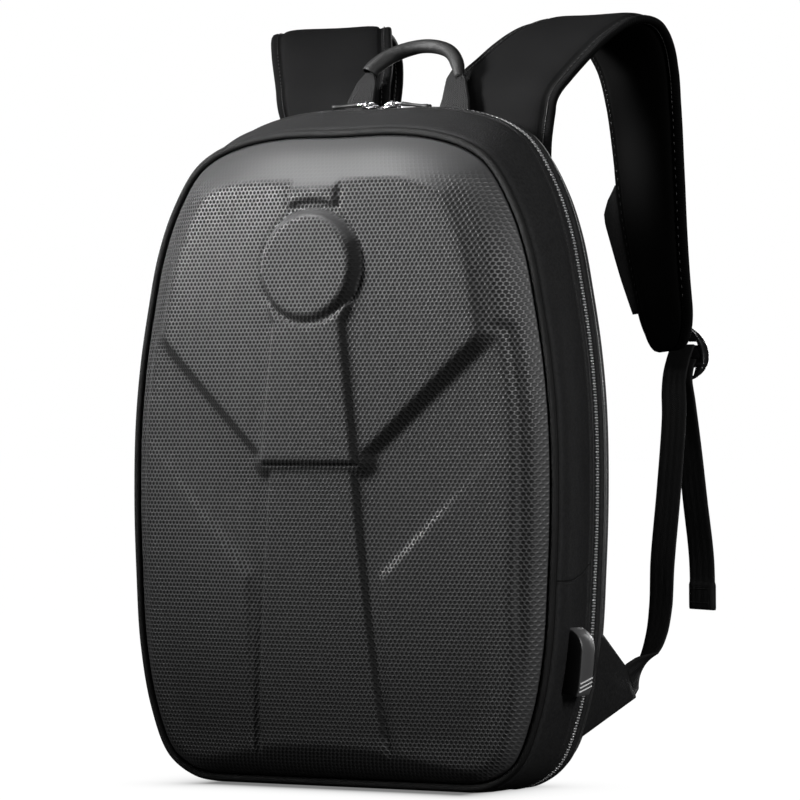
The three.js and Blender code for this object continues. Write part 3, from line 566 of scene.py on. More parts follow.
pit = 1 - dot_distance(x_mm, z_mm).step(DOT_RADIUS - DOT_SOFT, DOT_RADIUS + DOT_SOFT)
pressed = shell_finish.mark("pressed")
# This mark is painted shade on the walls and undersides: below, it pulls the skin's colour towards black.
wall_shade_painted = shell_finish.mark("painted_shade")
net_colour = shell_finish.mix(pit * pressed, (0.057, 0.057, 0.058), (0.001, 0.001, 0.001))
shell_finish.colour(shell_finish.mix(wall_shade_painted * 0.9, net_colour, (0.001, 0.001, 0.001)))
shell_finish.roughness(0.34 + (pit * pressed).most(wall_shade_painted) * 0.5 + shell_finish.cloud(40) * 0.08)
shell_finish.relief(pit * pressed * -0.55 + shell_finish.cloud(0.5) * 0.02)

edge_points = even(RIM - RIM_OUT * SHELL_EDGE, SHELL_TURNS)
centre = np.array([0, RIM_RAISE + RIM_HEIGHT / 2])
rings = []
for share in np.linspace(0.004, 1, SHELL_RINGS):
    ring = centre + (edge_points - centre) * share
    height = shell_height(ring[:, 0], ring[:, 1]) if share < 1 else np.zeros(SHELL_TURNS)
    rings.append(np.stack([ring[:, 0], RIM_Y - height, ring[:, 1]], 1))
for share in np.linspace(1, 0.05, LINING_RINGS):
    ring = centre + (edge_points - centre) * (share - 0.02 * share)
    under = flank(from_edge(ring[:, 0], ring[:, 1])) - SHELL_WALL - 2
    depth = np.clip(under, -1.5, 14) if share < 1 else -1.5
    rings.append(np.stack([ring[:, 0], RIM_Y - depth * np.ones(SHELL_TURNS), ring[:, 1]], 1))
shell = stack("moulded_shell", rings, shell_finish)


def marked(piece, label, values):
    """Keeps a value on each point of a piece, for its finish to read."""
    layer = piece.data.attributes.new(label, "FLOAT", "POINT")
    layer.data.foreach_set("value", np.asarray(values, np.float32))


# The dots are pressed into what faces forwards, and fade on the walls. Inside the sloping side, walls that
# turn down or to the right, and faces that turn downwards, carry painted shade: their colour is darkened
# towards black.
places = np.array([vertex.co for vertex in shell.data.vertices]) / MM
right_facing, front_facing, upwards = np.array([vertex.normal for vertex in shell.data.vertices]).T
front_facing = np.abs(front_facing)
fading = np.clip((0.62 - upwards) / 0.25, 0.06, 1)
marked(shell, "pressed", np.clip((front_facing - 0.45) / 0.3, 0, 1) * fading)
inside = np.clip((from_edge(places[:, 0], places[:, 2]) - 24) / 8, 0, 1)
turned_away = np.clip(0.6 + 2 * np.maximum(right_facing, -0.1) - 3 * upwards, 0, 1)
wall_painted_shade = np.clip((0.972 - front_facing) / 0.13, 0, 1) * turned_away
underside_painted_shade = 0.45 * np.clip((-upwards - 0.01) / 0.12, 0, 1)
marked(shell, "painted_shade", np.maximum(wall_painted_shade, underside_painted_shade) * inside)
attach(shell, "bag")
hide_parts("front_shell")

# Piping
# A cord in a black cloth sleeve, sewn round the shell's edge.
BODY = outline(BODY_WIDTH, BODY_HEIGHT, 0)
body_walk = walk_round(BODY)


def body_ring(y, swell, out):
    """A ring at depth y: swell goes from the rim (0) to the cloth body (1), out pushes it outwards."""
    ring = RIM * (1 - swell) + BODY * swell + RIM_OUT * out
    return np.stack([ring[:, 0], np.full(len(ring), y), np.maximum(ring[:, 1], 0)], 1)


def ring_pattern(levels):
    """The pattern's place for each point of a stack of body rings: round the bag, and over the rows."""
    steps = [np.linalg.norm(b - a, axis=1).max() for a, b in zip(levels, levels[1:] + levels[:1])]
    over = np.concatenate([[0], np.cumsum(steps)])
    return [[(round_bag, row) for round_bag in body_walk] for row in over]


piping_finish = Finish("piping_sleeve", roughness=0.6, Specular_IOR_Level=0.25)
along, around = piping_finish.pattern()
piping_finish.colour(piping_finish.mix(piping_finish.cloud(6), (0.003, 0.003, 0.003),
                                       (0.007, 0.007, 0.007)))
piping_finish.relief((along + around * 0.6).wave(0.9) * 0.05 + around.wave(0.8) * 0.05)
turns = np.linspace(0, 2 * math.pi, 14, endpoint=False)
levels = [body_ring(RIM_Y + PIPING / 2 * math.sin(t), 0, PIPING / 2 * math.cos(t)) for t in turns]
piping = stack("piping", levels, piping_finish, wrap=True, uv=ring_pattern(levels))
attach(piping, "bag")
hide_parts("shell_piping")

# Cloth body
# Coated polyester sewn into a band in front of the zip and another behind it, their edges turned under in
# narrow welts beside the teeth. A curved seam joins the lower side panel.
CLOTH_WALL = 2.5
GUSSET_Y = RIM_Y + PIPING / 2 + FIT_GAP
GUSSET_DEPTH = 44
ZIP_Y = GUSSET_Y + GUSSET_DEPTH + FIT_GAP
ZIP_WIDTH = 9.4
REAR_Y = ZIP_Y + ZIP_WIDTH + FIT_GAP
REAR_DEPTH = 20
BACK_Y = REAR_Y + REAR_DEPTH + FIT_GAP
BACK_THICKNESS = 12


def wall(name, rows, finish, node, slot):
    """A closed band of cloth round the bag, from rows of [y, swell, out]."""
    outer = [body_ring(*row) for row in rows]
    inner = []
    for ring in outer:
        turned = ring - np.stack([RIM_OUT[:, 0], np.zeros(len(ring)), RIM_OUT[:, 1]], 1) * CLOTH_WALL
        turned[:, 2] = np.maximum(turned[:, 2], CLOTH_WALL)
        inner.append(turned)
    levels = outer + [inner[-1], inner[len(inner) // 2], inner[0]]
    band = stack(name, levels, finish, wrap=True, uv=ring_pattern(levels))
    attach(band, "bag")
    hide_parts(node)


def weave(along, across, pitch, depth):
    """Height of a plain weave: threads that pass over and under each other."""
    over = along.wave(2 * pitch) * across.wave(2 * pitch)
    threads = along.wave(pitch) * over.step(-0.2, 0.2) + across.wave(pitch) * (1 - over.step(-0.2, 0.2))
    return threads * depth


cloth = Finish("coated_cloth", roughness=0.72, Specular_IOR_Level=0.3)
along, across = cloth.pattern()
x_mm, y_mm, z_mm = cloth.place()
SEAM_UP = 137
SEAM_LEVEL = 12
SEAM_CURVE = 0.0105
past_level = (y_mm - RIM_Y - SEAM_LEVEL).most(0)
seam_line = z_mm - SEAM_UP - past_level * past_level * SEAM_CURVE
seam = seam_line.band(0, 0.4, 0.9) * (y_mm - ZIP_Y + 3).step(0.5, -0.5)
threads = weave(along, across, 0.8, 0.5)
cloth_shade = threads * 0.4 + 0.5 + (cloth.cloud(30) - 0.5) * 0.6 + (cloth.cloud(1.8) - 0.5) * 2.6
cloth.colour(cloth.mix(cloth_shade, (0.007, 0.007, 0.0073), (0.017, 0.017, 0.0175)))
cloth.roughness(0.66 + threads * 0.1 + cloth.cloud(60) * 0.1)
cloth.relief(threads * 0.08 + cloth.cloud(18) * 0.5 + cloth.cloud(1.6) * 0.3 - seam * 1.1)
WELT = 1.1
front_rows = [[GUSSET_Y, 0, 0.4], [GUSSET_Y + 0.7, 0.01, 2.2], [GUSSET_Y + 2.4, 0.06, 2.9],
              [GUSSET_Y + 5, 0.13, 2.9], [GUSSET_Y + 12, 0.3, 2.6], [GUSSET_Y + 22, 0.62, 1.5],
              [GUSSET_Y + 34, 0.85, 0.6], [ZIP_Y - 6.6, 0.93, 0.1], [ZIP_Y - 5.6, 0.95, -0.35],
              [ZIP_Y - 4.8, 0.96, 0.3], [ZIP_Y - 3.2, 0.98, WELT * 0.75], [ZIP_Y - 1.4, 1, WELT * 0.6],
              [ZIP_Y - FIT_GAP, 1, -0.6]]
wall("front_band", front_rows, cloth, "front_gusset", "body_cloth")
rear_rows = [[REAR_Y, 1, -0.9], [REAR_Y + 1.2, 1, 0.4], [REAR_Y + 3, 1, 0.5], [REAR_Y + 4.6, 1, 0],
             [REAR_Y + 5.4, 1, -0.75], [REAR_Y + 6.6, 1, -0.9], [REAR_Y + 11, 1, -2.2],
             [REAR_Y + 15, 1, -4], [REAR_Y + 18, 1, -6], [REAR_Y + REAR_DEPTH, 1, -8]]
wall("rear_band", rear_rows, cloth, "rear_gusset", "body_cloth")

# Zip
# A black tape with a close row of pale, metal-coloured teeth that runs round the whole bag.
tape = Finish("zip_tape", roughness=0.8)
along, across = tape.pattern()
tape.colour(tape.mix(along.wave(0.7) * 0.5 + 0.5, (0.004, 0.004, 0.004), (0.012, 0.012, 0.012)))
tape.relief(along.wave(0.7) * 0.06 + across.wave(0.9) * 0.04)
tape_rows = [[ZIP_Y, 1, -1.2], [ZIP_Y + 0.6, 1, -1], [ZIP_Y + 3, 1, -1], [ZIP_Y + 6.4, 1, -1],
             [ZIP_Y + ZIP_WIDTH - 0.6, 1, -1], [ZIP_Y + ZIP_WIDTH, 1, -1.2]]
wall("zip_band", tape_rows, tape, "main_zip", "zip_metal")


def repeat(name, spots, turns, unit, finish, size=1.0):
    """Copies of a small unit mesh at spots, each turned by its own angles, made by Geometry Nodes and then
    turned into a plain mesh. Spots are in millimetres and turns in radians."""
    tree = bpy.data.node_groups.new(name, "GeometryNodeTree")
    sockets = {}
    for label, kind, way in (("Spots", "Geometry", "INPUT"), ("Unit", "Object", "INPUT"),
                             ("Size", "Float", "INPUT"), ("Finish", "Material", "INPUT"),
                             ("Copies", "Geometry", "OUTPUT")):
        sockets[label] = tree.interface.new_socket(label, in_out=way, socket_type="NodeSocket" + kind)
    start, end = tree.nodes.new("NodeGroupInput"), tree.nodes.new("NodeGroupOutput")
    info = tree.nodes.new("GeometryNodeObjectInfo")
    turn = tree.nodes.new("GeometryNodeInputNamedAttribute")
    turn.data_type = "FLOAT_VECTOR"
    turn.inputs["Name"].default_value = "turn"
    copies = tree.nodes.new("GeometryNodeInstanceOnPoints")
    real = tree.nodes.new("GeometryNodeRealizeInstances")
    paint = tree.nodes.new("GeometryNodeSetMaterial")
    for source, target in (
        (start.outputs["Spots"], copies.inputs["Points"]),
        (start.outputs["Unit"], info.inputs["Object"]),
        (info.outputs["Geometry"], copies.inputs["Instance"]),
        (turn.outputs[0], copies.inputs["Rotation"]),
        (start.outputs["Size"], copies.inputs["Scale"]),
        (copies.outputs[0], real.inputs[0]),
        (real.outputs[0], paint.inputs["Geometry"]),
        (start.outputs["Finish"], paint.inputs["Material"]),
        (paint.outputs[0], end.inputs["Copies"]),
    ):
        tree.links.new(source, target)
    seeds = bpy.data.meshes.new(name + "_spots")
    seeds.from_pydata((np.asarray(spots) * MM).tolist(), [], [])
    turn_layer = seeds.attributes.new("turn", "FLOAT_VECTOR", "POINT")
    turn_layer.data.foreach_set("vector", np.asarray(turns, np.float32).ravel())
    holder = bpy.data.objects.new(name + "_spots", seeds)
    scene.collection.objects.link(holder)
    grower = holder.modifiers.new("copies", "NODES")
    grower.node_group = tree
    grower[sockets["Unit"].identifier] = unit
    grower[sockets["Size"].identifier] = size
    grower[sockets["Finish"].identifier] = finish.material
    bpy.context.view_layer.update()
    mesh = bpy.data.meshes.new_from_object(holder.evaluated_get(bpy.context.evaluated_depsgraph_get()))
    holder.modifiers.remove(grower)
    bpy.data.objects.remove(holder)
    piece = bpy.data.objects.new(name, mesh)
    scene.collection.objects.link(piece)
    mesh.shade_smooth()
    return piece


def unit_mesh(name, rings):
    """A small closed mesh for repeat, from rings of points about its own middle. It isn't shown."""
    unit = stack(name, rings, tape)
    scene.collection.objects.unlink(unit)
    return unit


TEETH_PITCH = 1.85
tooth = unit_mesh("tooth", [
    [[x * w, y, z * h + lift] for x, z in ((-1, -1), (1, -1), (1.0, 0.4), (0.5, 1), (-0.5, 1), (-1.0, 0.4))]
    for y, w, h, lift in ((-1.5, 0.3, 0.25, 0), (-1.2, 0.5, 0.5, 0.1), (0.3, 0.5, 0.6, 0.2),
                          (1.0, 0.62, 0.8, 0.3), (1.3, 0.4, 0.5, 0.25))])
teeth_finish = Finish("zip_teeth", roughness=0.3, Metallic=0.6)
teeth_finish.colour(teeth_finish.mix(teeth_finish.cloud(3), (0.6, 0.6, 0.61), (0.95, 0.95, 0.95)))
TEETH_STAGGER = 0.3
teeth_loop = even(BODY - RIM_OUT * 0.4, int(body_walk[-1] / TEETH_PITCH))
teeth_loop[:, 1] = np.maximum(teeth_loop[:, 1], 0.9)
spots, turned = [], []
for k, ((x, z), (out_x, out_z)) in enumerate(zip(teeth_loop, outward(teeth_loop))):
    side = 1 if k % 2 else -1
    spots.append((x, ZIP_Y + ZIP_WIDTH / 2 + side * TEETH_STAGGER, z))
    # every other tooth is turned half round about its own upright first
    half_turn = Matrix.Rotation(0 if side < 0 else math.pi, 3, "Z")
    turned.append(tuple((Matrix.Rotation(math.atan2(out_x, out_z), 3, "Y") @ half_turn).to_euler()))
teeth = repeat("zip_teeth", spots, turned, tooth, teeth_finish)
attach(teeth, "bag")

# Padded back
# Foam under air mesh in two columns of pads with channels between them, sewn to the rear band.
BACK_INSET = 8
mesh_cloth = Finish("air_mesh", roughness=0.85, Sheen_Weight=0.2, Sheen_Roughness=0.5)
x_mm, y_mm, z_mm = mesh_cloth.place()
HOLE_PITCH = 2.4
hole_rows = [((x_mm + a).from_nearest(HOLE_PITCH), (z_mm + b).from_nearest(HOLE_PITCH * 1.6))
             for a, b in ((0, 0), (HOLE_PITCH / 2, HOLE_PITCH * 0.8))]
hole_near = [(dx * dx + dz * dz * 0.6).maths("SQRT") for dx, dz in hole_rows]
hole = 1 - hole_near[0].least(hole_near[1]).step(0.35, 0.8)
mesh_cloth.colour(mesh_cloth.mix(hole, (0.017, 0.017, 0.018), (0.003, 0.003, 0.003)))
mesh_cloth.relief(hole * -0.4 + mesh_cloth.cloud(0.6) * 0.15)
BACK_TURNS = 360
back_edge = even(BODY - RIM_OUT * BACK_INSET, BACK_TURNS)
back_edge[:, 1] = np.maximum(back_edge[:, 1], 8)
back_middle = np.array([0, BODY_HEIGHT / 2])
CHANNEL = 11
CHANNELS_UP = [0.40, 0.66]


def back_depth(x, z, share):
    """Depth of the back's face: pads divided by one upright and two level channels."""
    edge = 1 - share
    crown = np.minimum(1, edge / 0.16) ** 0.5
    middle_gap = 1 - np.exp(-((x / (CHANNEL * 0.9)) ** 2))
    level_gap = 1.0
    for up in CHANNELS_UP:
        level_gap = level_gap * (1 - 0.8 * np.exp(-(((z - up * BODY_HEIGHT) / 6) ** 2)))
    return BACK_THICKNESS * (0.42 + 0.56 * crown * (0.35 + 0.65 * middle_gap * level_gap))


rings = [np.stack([back_edge[:, 0] * 0.97, np.full(BACK_TURNS, BACK_Y), back_edge[:, 1] * 0.97 + 6], 1),
         np.stack([back_edge[:, 0], np.full(BACK_TURNS, BACK_Y + 1), back_edge[:, 1]], 1)]
for share in np.linspace(1, 0.01, 90):
    ring = back_middle + (back_edge - back_middle) * share
    depth = back_depth(ring[:, 0], ring[:, 1], share)
    rings.append(np.stack([ring[:, 0], BACK_Y + depth, ring[:, 1]], 1))
back = stack("padded_back", rings, mesh_cloth)
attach(back, "bag")
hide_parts("back_panel")

# Shoulder straps
# Foam between two faces of cloth, bound along both edges with ribbed tape and stitched beside the binding.
# Each rises from its seam on the back, bends over and hangs to a rounded end.
BACK_FACE_Y = BACK_Y + BACK_THICKNESS
STRAP_WIDTH = 85
STRAP_END_WIDTH = 58
STRAP_END_ROUND = 20
STRAP_THICKNESS = 11
STRAP_ROOT_ACROSS = 62
STRAP_SPREAD = 70
STRAP_REACH = 117
STRAP_RISE = 67
STRAP_HANG = 159
BINDING = 6.5
ROOT_Y = BACK_FACE_Y + FIT_GAP + STRAP_THICKNESS / 2
# shares of the sizes above: out, back, up, and narrow from full to end width; then the turn in degrees
STRAP_ROWS = [
    [0, 0, -0.47, 0, 0], [0, 0, -0.27, 0, 0], [0.01, 0.01, -0.09, 0, 0], [0.06, 0.05, 0.16, 0, 0],
    [0.19, 0.17, 0.45, 0, -3], [0.43, 0.376, 0.79, 0, -6], [0.62, 0.57, 0.93, 0.03, -9],
    [0.69, 0.75, 0.85, 0.14, -14], [0.73, 0.9, 0.52, 0.28, -18], [0.76, 0.94, 0.06, 0.36, -19],
    [0.83, 0.94, -0.31, 0.5, -20], [0.91, 0.957, -0.66, 0.74, -22], [1, 1, -1, 1, -24],
]


def open_path(rows, shares):
    """Points on a smooth open curve through rows, at shares of its rows."""
    rows = np.array(rows, float)
    rows = np.vstack([2 * rows[0] - rows[1], rows, 2 * rows[-1] - rows[-2]])
    found = []
    for share in shares:
        spot = min(max(share, 0), 1) * (len(rows) - 3)
        k = min(int(spot), len(rows) - 4)
        found.append(between(*rows[k:k + 4], spot - k))
    return np.array(found)


def column(values, share):
    """A value at a share of the way along a column of values."""
    spot = share * (len(values) - 1)
    return float(np.interp(spot, range(len(values)), values))


def unit(vector):
    return vector / np.linalg.norm(vector)


class Path:
    """A path through places, with level directions across it that turn about the upright."""

    def __init__(self, places, turns):
        self.places = places
        self.turns = turns
        fine = open_path(places, np.linspace(0, 1, 400))
        self.length = np.linalg.norm(np.diff(fine, axis=0), axis=1).sum()

    def at(self, share):
        here, ahead, behind = open_path(self.places, [share, share + 0.002, share - 0.002])
        along = unit(ahead - behind)
        turn = math.radians(column(self.turns, share))
        through = unit(np.cross(along, [math.cos(turn), math.sin(turn), 0]))
        return here, along, unit(np.cross(through, along)), through


def laid(point, across, through, section):
    """A section's points about a point of a path: u across it and v through it."""
    return np.array([point + across * u + through * v for u, v in section])


def band_uv(levels):
    """Pattern places for a stack of sections: along the path, and round the section."""
    steps = [np.linalg.norm(b.mean(0) - a.mean(0)) for a, b in zip(levels, levels[1:])]
    round_section = walk_round(levels[len(levels) // 2])
    along = np.concatenate([[0], np.cumsum(steps)])
    return [[(run, across) for across in round_section] for run in along]


def mirror(points):
    return points * np.array([-1, 1, 1])


def both_sides(name, levels, finish, node):
    """The right piece from its sections, and the left one as its mirror image."""
    made = []
    for side, turned in (("right", levels), ("left", [mirror(level) for level in levels])):
        piece = stack(f"{name}_{side}", turned, finish, uv=band_uv(turned))
        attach(piece, "bag")
        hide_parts(f"{node}_{side}")
        made.append(piece)
    return made


strap_places = [[STRAP_ROOT_ACROSS + row[0] * STRAP_SPREAD, ROOT_Y + row[1] * STRAP_REACH,
                 BODY_HEIGHT + row[2] * (STRAP_RISE if row[2] > 0 else STRAP_HANG)] for row in STRAP_ROWS]
strap_path = Path(strap_places, [row[4] for row in STRAP_ROWS])
strap_narrow = [row[3] for row in STRAP_ROWS]


def strap_width(share):
    """The strap's width, which narrows over its length and is rounded off at its end."""
    full = STRAP_WIDTH + (STRAP_END_WIDTH - STRAP_WIDTH) * column(strap_narrow, share)
    into = max(0, STRAP_END_ROUND - (1 - share) * strap_path.length)
    return full - 2 * (STRAP_END_ROUND - math.sqrt(STRAP_END_ROUND**2 - into**2)) * 0.9


# share along the strap, and how far its inner edge is drawn in where it turns over
TRIM_ROWS = [[0.64, 0], [0.74, 5], [0.8, 6], [0.86, 4.5], [0.93, 6.5], [0.98, 6], [1, 3]]


def strap_trim(share):
    return float(np.interp(share, *np.array(TRIM_ROWS).T))


def strap_section(width, swell=1.0):
    """The outline of the padded section: bound edges, a sewn dip beside each and the crowned foam."""
    half = width / 2
    inner = half - BINDING - 1.2
    rows = [[half, 0], [half, 1.2], [half - 0.5, 2.0], [half - 2, 2.5], [half - BINDING + 0.8, 2.5],
            [half - BINDING, 2.2], [inner, 2.1]]
    rows += [[inner * s, 2.1 + (STRAP_THICKNESS / 2 - 2.1) * swell * (1 - s**5) ** 0.45]
             for s in (0.97, 0.93, 0.86, 0.75, 0.6, 0.4, 0.2, 0)]
    upper = rows + [[-u, v] for u, v in rows[-2::-1]]
    return upper + [[u, -v] for u, v in upper[-2:0:-1]]


strap_cloth = Finish("strap_cloth", roughness=0.85, Specular_IOR_Level=0.08)
along, across = strap_cloth.pattern()
near_edge = strap_cloth.mark("binding")
threads = weave(along, across, 0.7, 0.5)
ribs = along.wave(1.1)
lining = strap_cloth.mark("lining")
face_shade = threads * 0.35 + 0.5 + (strap_cloth.cloud(22) - 0.5) * 0.5
face_shade = face_shade + (strap_cloth.cloud(1.6) - 0.5) * 1.2
face_colour = strap_cloth.mix(face_shade, (0.0022, 0.0022, 0.0023), (0.005, 0.005, 0.0052))
strap_cloth.colour(strap_cloth.mix(lining, face_colour, (0.0012, 0.0012, 0.0012)))
strap_cloth.roughness(lining * 0.2 + 0.75)
strap_cloth.relief(threads * 0.07 * (1 - near_edge) + ribs * near_edge * 0.12 + strap_cloth.cloud(25) * 0.6)

strap_shares = np.concatenate([np.linspace(0, 0.95, 110), np.linspace(0.955, 1, 24)])
levels = []
for share in strap_shares:
    here, along_it, across_it, through = strap_path.at(share)
    gone = (1 - share) * strap_path.length
    swell = min(1, (gone / 26) ** 0.5) * min(1, 0.35 + share * strap_path.length / 40)
    section = laid(here, across_it, through, strap_section(strap_width(share), swell))
    inwards = (section - here) @ across_it
    trim = strap_trim(share) * np.clip(-inwards / (strap_width(share) / 2), 0, 1)
    levels.append(section + across_it * trim[:, None])
straps = both_sides("shoulder_strap", levels, strap_cloth, "shoulder_strap")
# points of the section beside each edge that the binding covers, and the face that the lining does
BOUND_POINTS = 5
half_count = len(levels[0]) // 2
bound = [float(k % half_count < BOUND_POINTS or k % half_count > half_count - BOUND_POINTS)
         for k in range(len(levels[0]))]
lined = [float(v > 0) for u, v in strap_section(STRAP_WIDTH)]
for strap in straps:
    for label, across_values in (("binding", bound), ("lining", lined)):
        marked(strap, label, np.concatenate([np.tile(across_values, len(levels)), [0, 0]]))

# Stitching on the straps
# Dashes of black thread beside both bindings, on both faces.
thread_finish = Finish("thread", roughness=0.5)
thread_finish.colour(thread_finish.mix(thread_finish.cloud(2), (0.006, 0.006, 0.006),
                                       (0.016, 0.016, 0.016)))
stitch = unit_mesh("stitch", [
    [[x, y * w, z * w] for y, z in ((-1, 0), (-0.5, 0.8), (0.5, 0.8), (1, 0), (0.5, -0.6), (-0.5, -0.6))]
    for x, w in ((-1.2, 0.12), (-0.9, 0.3), (0, 0.34), (0.9, 0.3), (1.2, 0.12))])
STITCH_PITCH = 3.6
STITCH_INSET = BINDING - 1.8
STITCH_FACE = 2.75


def sewn(name, rows):
    """Stitches at rows of [place, turn], and their mirror images, as one piece."""
    spots, turns = [], []
    for spot, matrix in rows:
        spots += [spot, mirror(spot)]
        other = Matrix.Diagonal((-1, 1, 1)) @ matrix @ Matrix.Diagonal((1, 1, -1))
        turns += [tuple(matrix.to_euler()), tuple(other.to_euler())]
    piece = repeat(name, spots, turns, stitch, thread_finish)
    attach(piece, "bag")


rows = []
for edge in (-1, 1):
    for face in (-STITCH_FACE, STITCH_FACE):
        for share in np.arange(0.02, 0.945, STITCH_PITCH / strap_path.length):
            here, along_it, across_it, through = strap_path.at(share)
            side = edge * (strap_width(share) / 2 - STITCH_INSET)
            side += strap_trim(share) * max(0, -side / (strap_width(share) / 2))
            spot = laid(here, across_it, through, [[side, face]])[0]
            rows.append((spot, Matrix((along_it, across_it, through)).transposed()))
sewn("strap_stitches", rows)

# Strap pocket
# A small flat pocket of cloth that fans out from the inner edge of the right strap. Its rows are shares
# along the strap and how far it reaches from that edge there.
POCKET_ROWS = [[0.822, -5.5], [0.836, 4], [0.849, 10], [0.86, 10.5], [0.92, 4], [0.957, -0.8]]
levels = []
for share in np.linspace(POCKET_ROWS[0][0], POCKET_ROWS[-1][0], 30):
    here, along_it, across_it, through = strap_path.at(share)
    reach = float(np.interp(share, *np.array(POCKET_ROWS).T))
    edge = -strap_width(share) / 2 - 0.1 + strap_trim(share)
    reach += 1.5 + strap_trim(share)
    section = [[edge - reach, -0.6], [edge - reach * 0.93, -1.0], [edge - reach * 0.5, -1.7], [edge, -1.9],
               [edge, 1.9], [edge - reach * 0.5, 1.7], [edge - reach * 0.93, 1.0], [edge - reach, 0.6]]
    levels.append(laid(here, across_it, through, section))
pocket = stack("strap_pocket", levels, cloth, uv=band_uv(levels))
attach(pocket, "bag")
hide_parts("strap_pocket_right")

# Ladder locks
# Black moulded plastic: a curved back on two side rails, with crossbars that the webbing turns round.
LOCK_WIDTH = 33
LOCK_HEIGHT = 39
LOCK_BULGE = 12
LOCK_THICKNESS = 6
SLOTS_UP = [0.154, -0.128]
SLOT_HEIGHT = 3.6
# up the lock, then its width and thickness there, as shares
LOCK_ROWS = [[1, 0.5, 0.4], [0.88, 0.76, 0.5], [0.6, 0.95, 0.8], [0.25, 1, 1], [-0.1, 1, 1],
             [-0.45, 1, 0.9], [-0.75, 0.86, 0.65], [-0.92, 0.68, 0.45], [-1, 0.48, 0.38]]
LOCK_CHORD = [STRAP_THICKNESS / 2 + 0.75 * LOCK_BULGE, STRAP_THICKNESS / 2 + 0.1]
WEBBING_WIDTH = 25
strap_end = strap_path.at(1)[0]
lock_turn = math.radians(STRAP_ROWS[-1][4])
lock_across = np.array([math.cos(lock_turn), math.sin(lock_turn), 0])
lock_out = np.array([-math.sin(lock_turn), math.cos(lock_turn), 0])


def by_lock(out, up, across=0.0):
    """A place given from the middle of the strap's end."""
    return strap_end + lock_out * out + np.array([0, 0, up]) + lock_across * across


plastic = Finish("moulded_plastic", roughness=0.32)
plastic.colour(plastic.mix(plastic.cloud(8), (0.006, 0.006, 0.0065), (0.012, 0.012, 0.012)))
plastic.roughness(0.2 + plastic.cloud(4) * 0.12)
plastic.relief(plastic.cloud(0.5) * 0.03 + plastic.cloud(9) * 0.1)
lock_table = np.array(LOCK_ROWS)[::-1]


def lock_section(up):
    """Half width, outer face and thickness of the lock at a height from -1 to 1."""
    width, thickness = (float(np.interp(up, lock_table[:, 0], lock_table[:, k])) for k in (1, 2))
    chord = LOCK_CHORD[0] + (LOCK_CHORD[1] - LOCK_CHORD[0]) * (up + 1) / 2
    return width * LOCK_WIDTH / 2, chord + LOCK_BULGE * (1 - up * up), thickness * LOCK_THICKNESS


def lock_bar(up_from, up_to, across_from, across_to, steps=12, bevel=0.7):
    """A stretch of the lock's curved back between two heights and across two places."""
    rings = []
    for k, up in enumerate(np.linspace(up_from, up_to, steps)):
        half, outer, thick = lock_section(up)
        left, right = max(across_from, -half), min(across_to, half)
        tuck = bevel if k in (0, steps - 1) else 0
        section = [[left + tuck, -thick + bevel + tuck], [left + bevel + tuck, -thick + tuck],
                   [right - bevel - tuck, -thick + tuck], [right - tuck, -thick + bevel + tuck],
                   [right - tuck, -bevel - tuck], [right - bevel - tuck, -tuck],
                   [left + bevel + tuck, -tuck], [left + tuck, -bevel - tuck]]
        rings.append([by_lock(outer + v, up * LOCK_HEIGHT / 2, u) for u, v in section])
    return stack("lock_bar", rings, plastic)


def joined(name, pieces, finish):
    """Several meshes as one object."""
    points, faces, start = [], [], 0
    for piece in pieces:
        points += [tuple(v.co / MM) for v in piece.data.vertices]
        faces += [tuple(start + i for i in face.vertices) for face in piece.data.polygons]
        start += len(piece.data.vertices)
        bpy.data.objects.remove(piece)
    return mesh_piece(name, points, faces, finish)


def slot_edge(slot, side):
    """Height on the lock, from -1 to 1, of a slot's upper edge (side 1) or lower one (-1)."""
    return 2 * (SLOTS_UP[slot] * LOCK_HEIGHT + side * SLOT_HEIGHT / 2) / LOCK_HEIGHT


half_slot = WEBBING_WIDTH / 2 + 0.5
upper_top, upper_low, lower_low = slot_edge(0, 1), slot_edge(0, -1), slot_edge(1, -1)
lock_bars = [
    lock_bar(1, upper_top - 0.06, -LOCK_WIDTH, LOCK_WIDTH),
    lock_bar(upper_low, lower_low + 0.05, -half_slot - 0.5, half_slot + 0.5, steps=5),
    lock_bar(lower_low + 0.005, -0.56, -LOCK_WIDTH, LOCK_WIDTH, steps=5),
    lock_bar(-0.84, -1, -LOCK_WIDTH, LOCK_WIDTH, steps=4, bevel=0.5),
]
# the side rails, the narrower ends of the lower slot, and the corners below it
for up_from, up_to, inner, steps, bevel in (
    (0.62, -0.6, half_slot, 12, 0.5),
    (lower_low + 0.08, lower_low - 0.03, 6, 3, 0.3),
    (-0.5, -0.9, 9, 5, 0.4),
):
    lock_bars += [lock_bar(up_from, up_to, inner, LOCK_WIDTH, steps, bevel),
                  lock_bar(up_from, up_to, -LOCK_WIDTH, -inner, steps, bevel)]
lock_right = joined("ladder_lock_right", lock_bars, plastic)
lock_left = mesh_piece("ladder_lock_left", [mirror(np.array(v.co) / MM) for v in lock_right.data.vertices],
                       [tuple(face.vertices)[::-1] for face in lock_right.data.polygons], plastic)
for piece, node in ((lock_right, "ladder_lock_right"), (lock_left, "ladder_lock_left")):
    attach(piece, "bag")
    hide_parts(node)

# Anchor tabs
# A folded triangle of cloth sewn into each lower rear corner, which carries the webbing's lower end.
TAB_PLATE = 2.4
TAB_REACH = 45
TAB_ROOT_LOW = 30
TAB_ROOT_HIGH = 107
TAB_TIP_UP = 68
TAB_TIP_OUT = -8
TAB_TIP_SLANT = 0.7
TAB_SEAM_IN = 8.6
TAB_HEM = 3
body_side = BODY[BODY[:, 0] > 1]
body_side = body_side[np.argsort(body_side[:, 1])]


def side_at(z):
    """How far out the bag's right side is at a height."""
    return float(np.interp(z, body_side[:, 1], body_side[:, 0]))


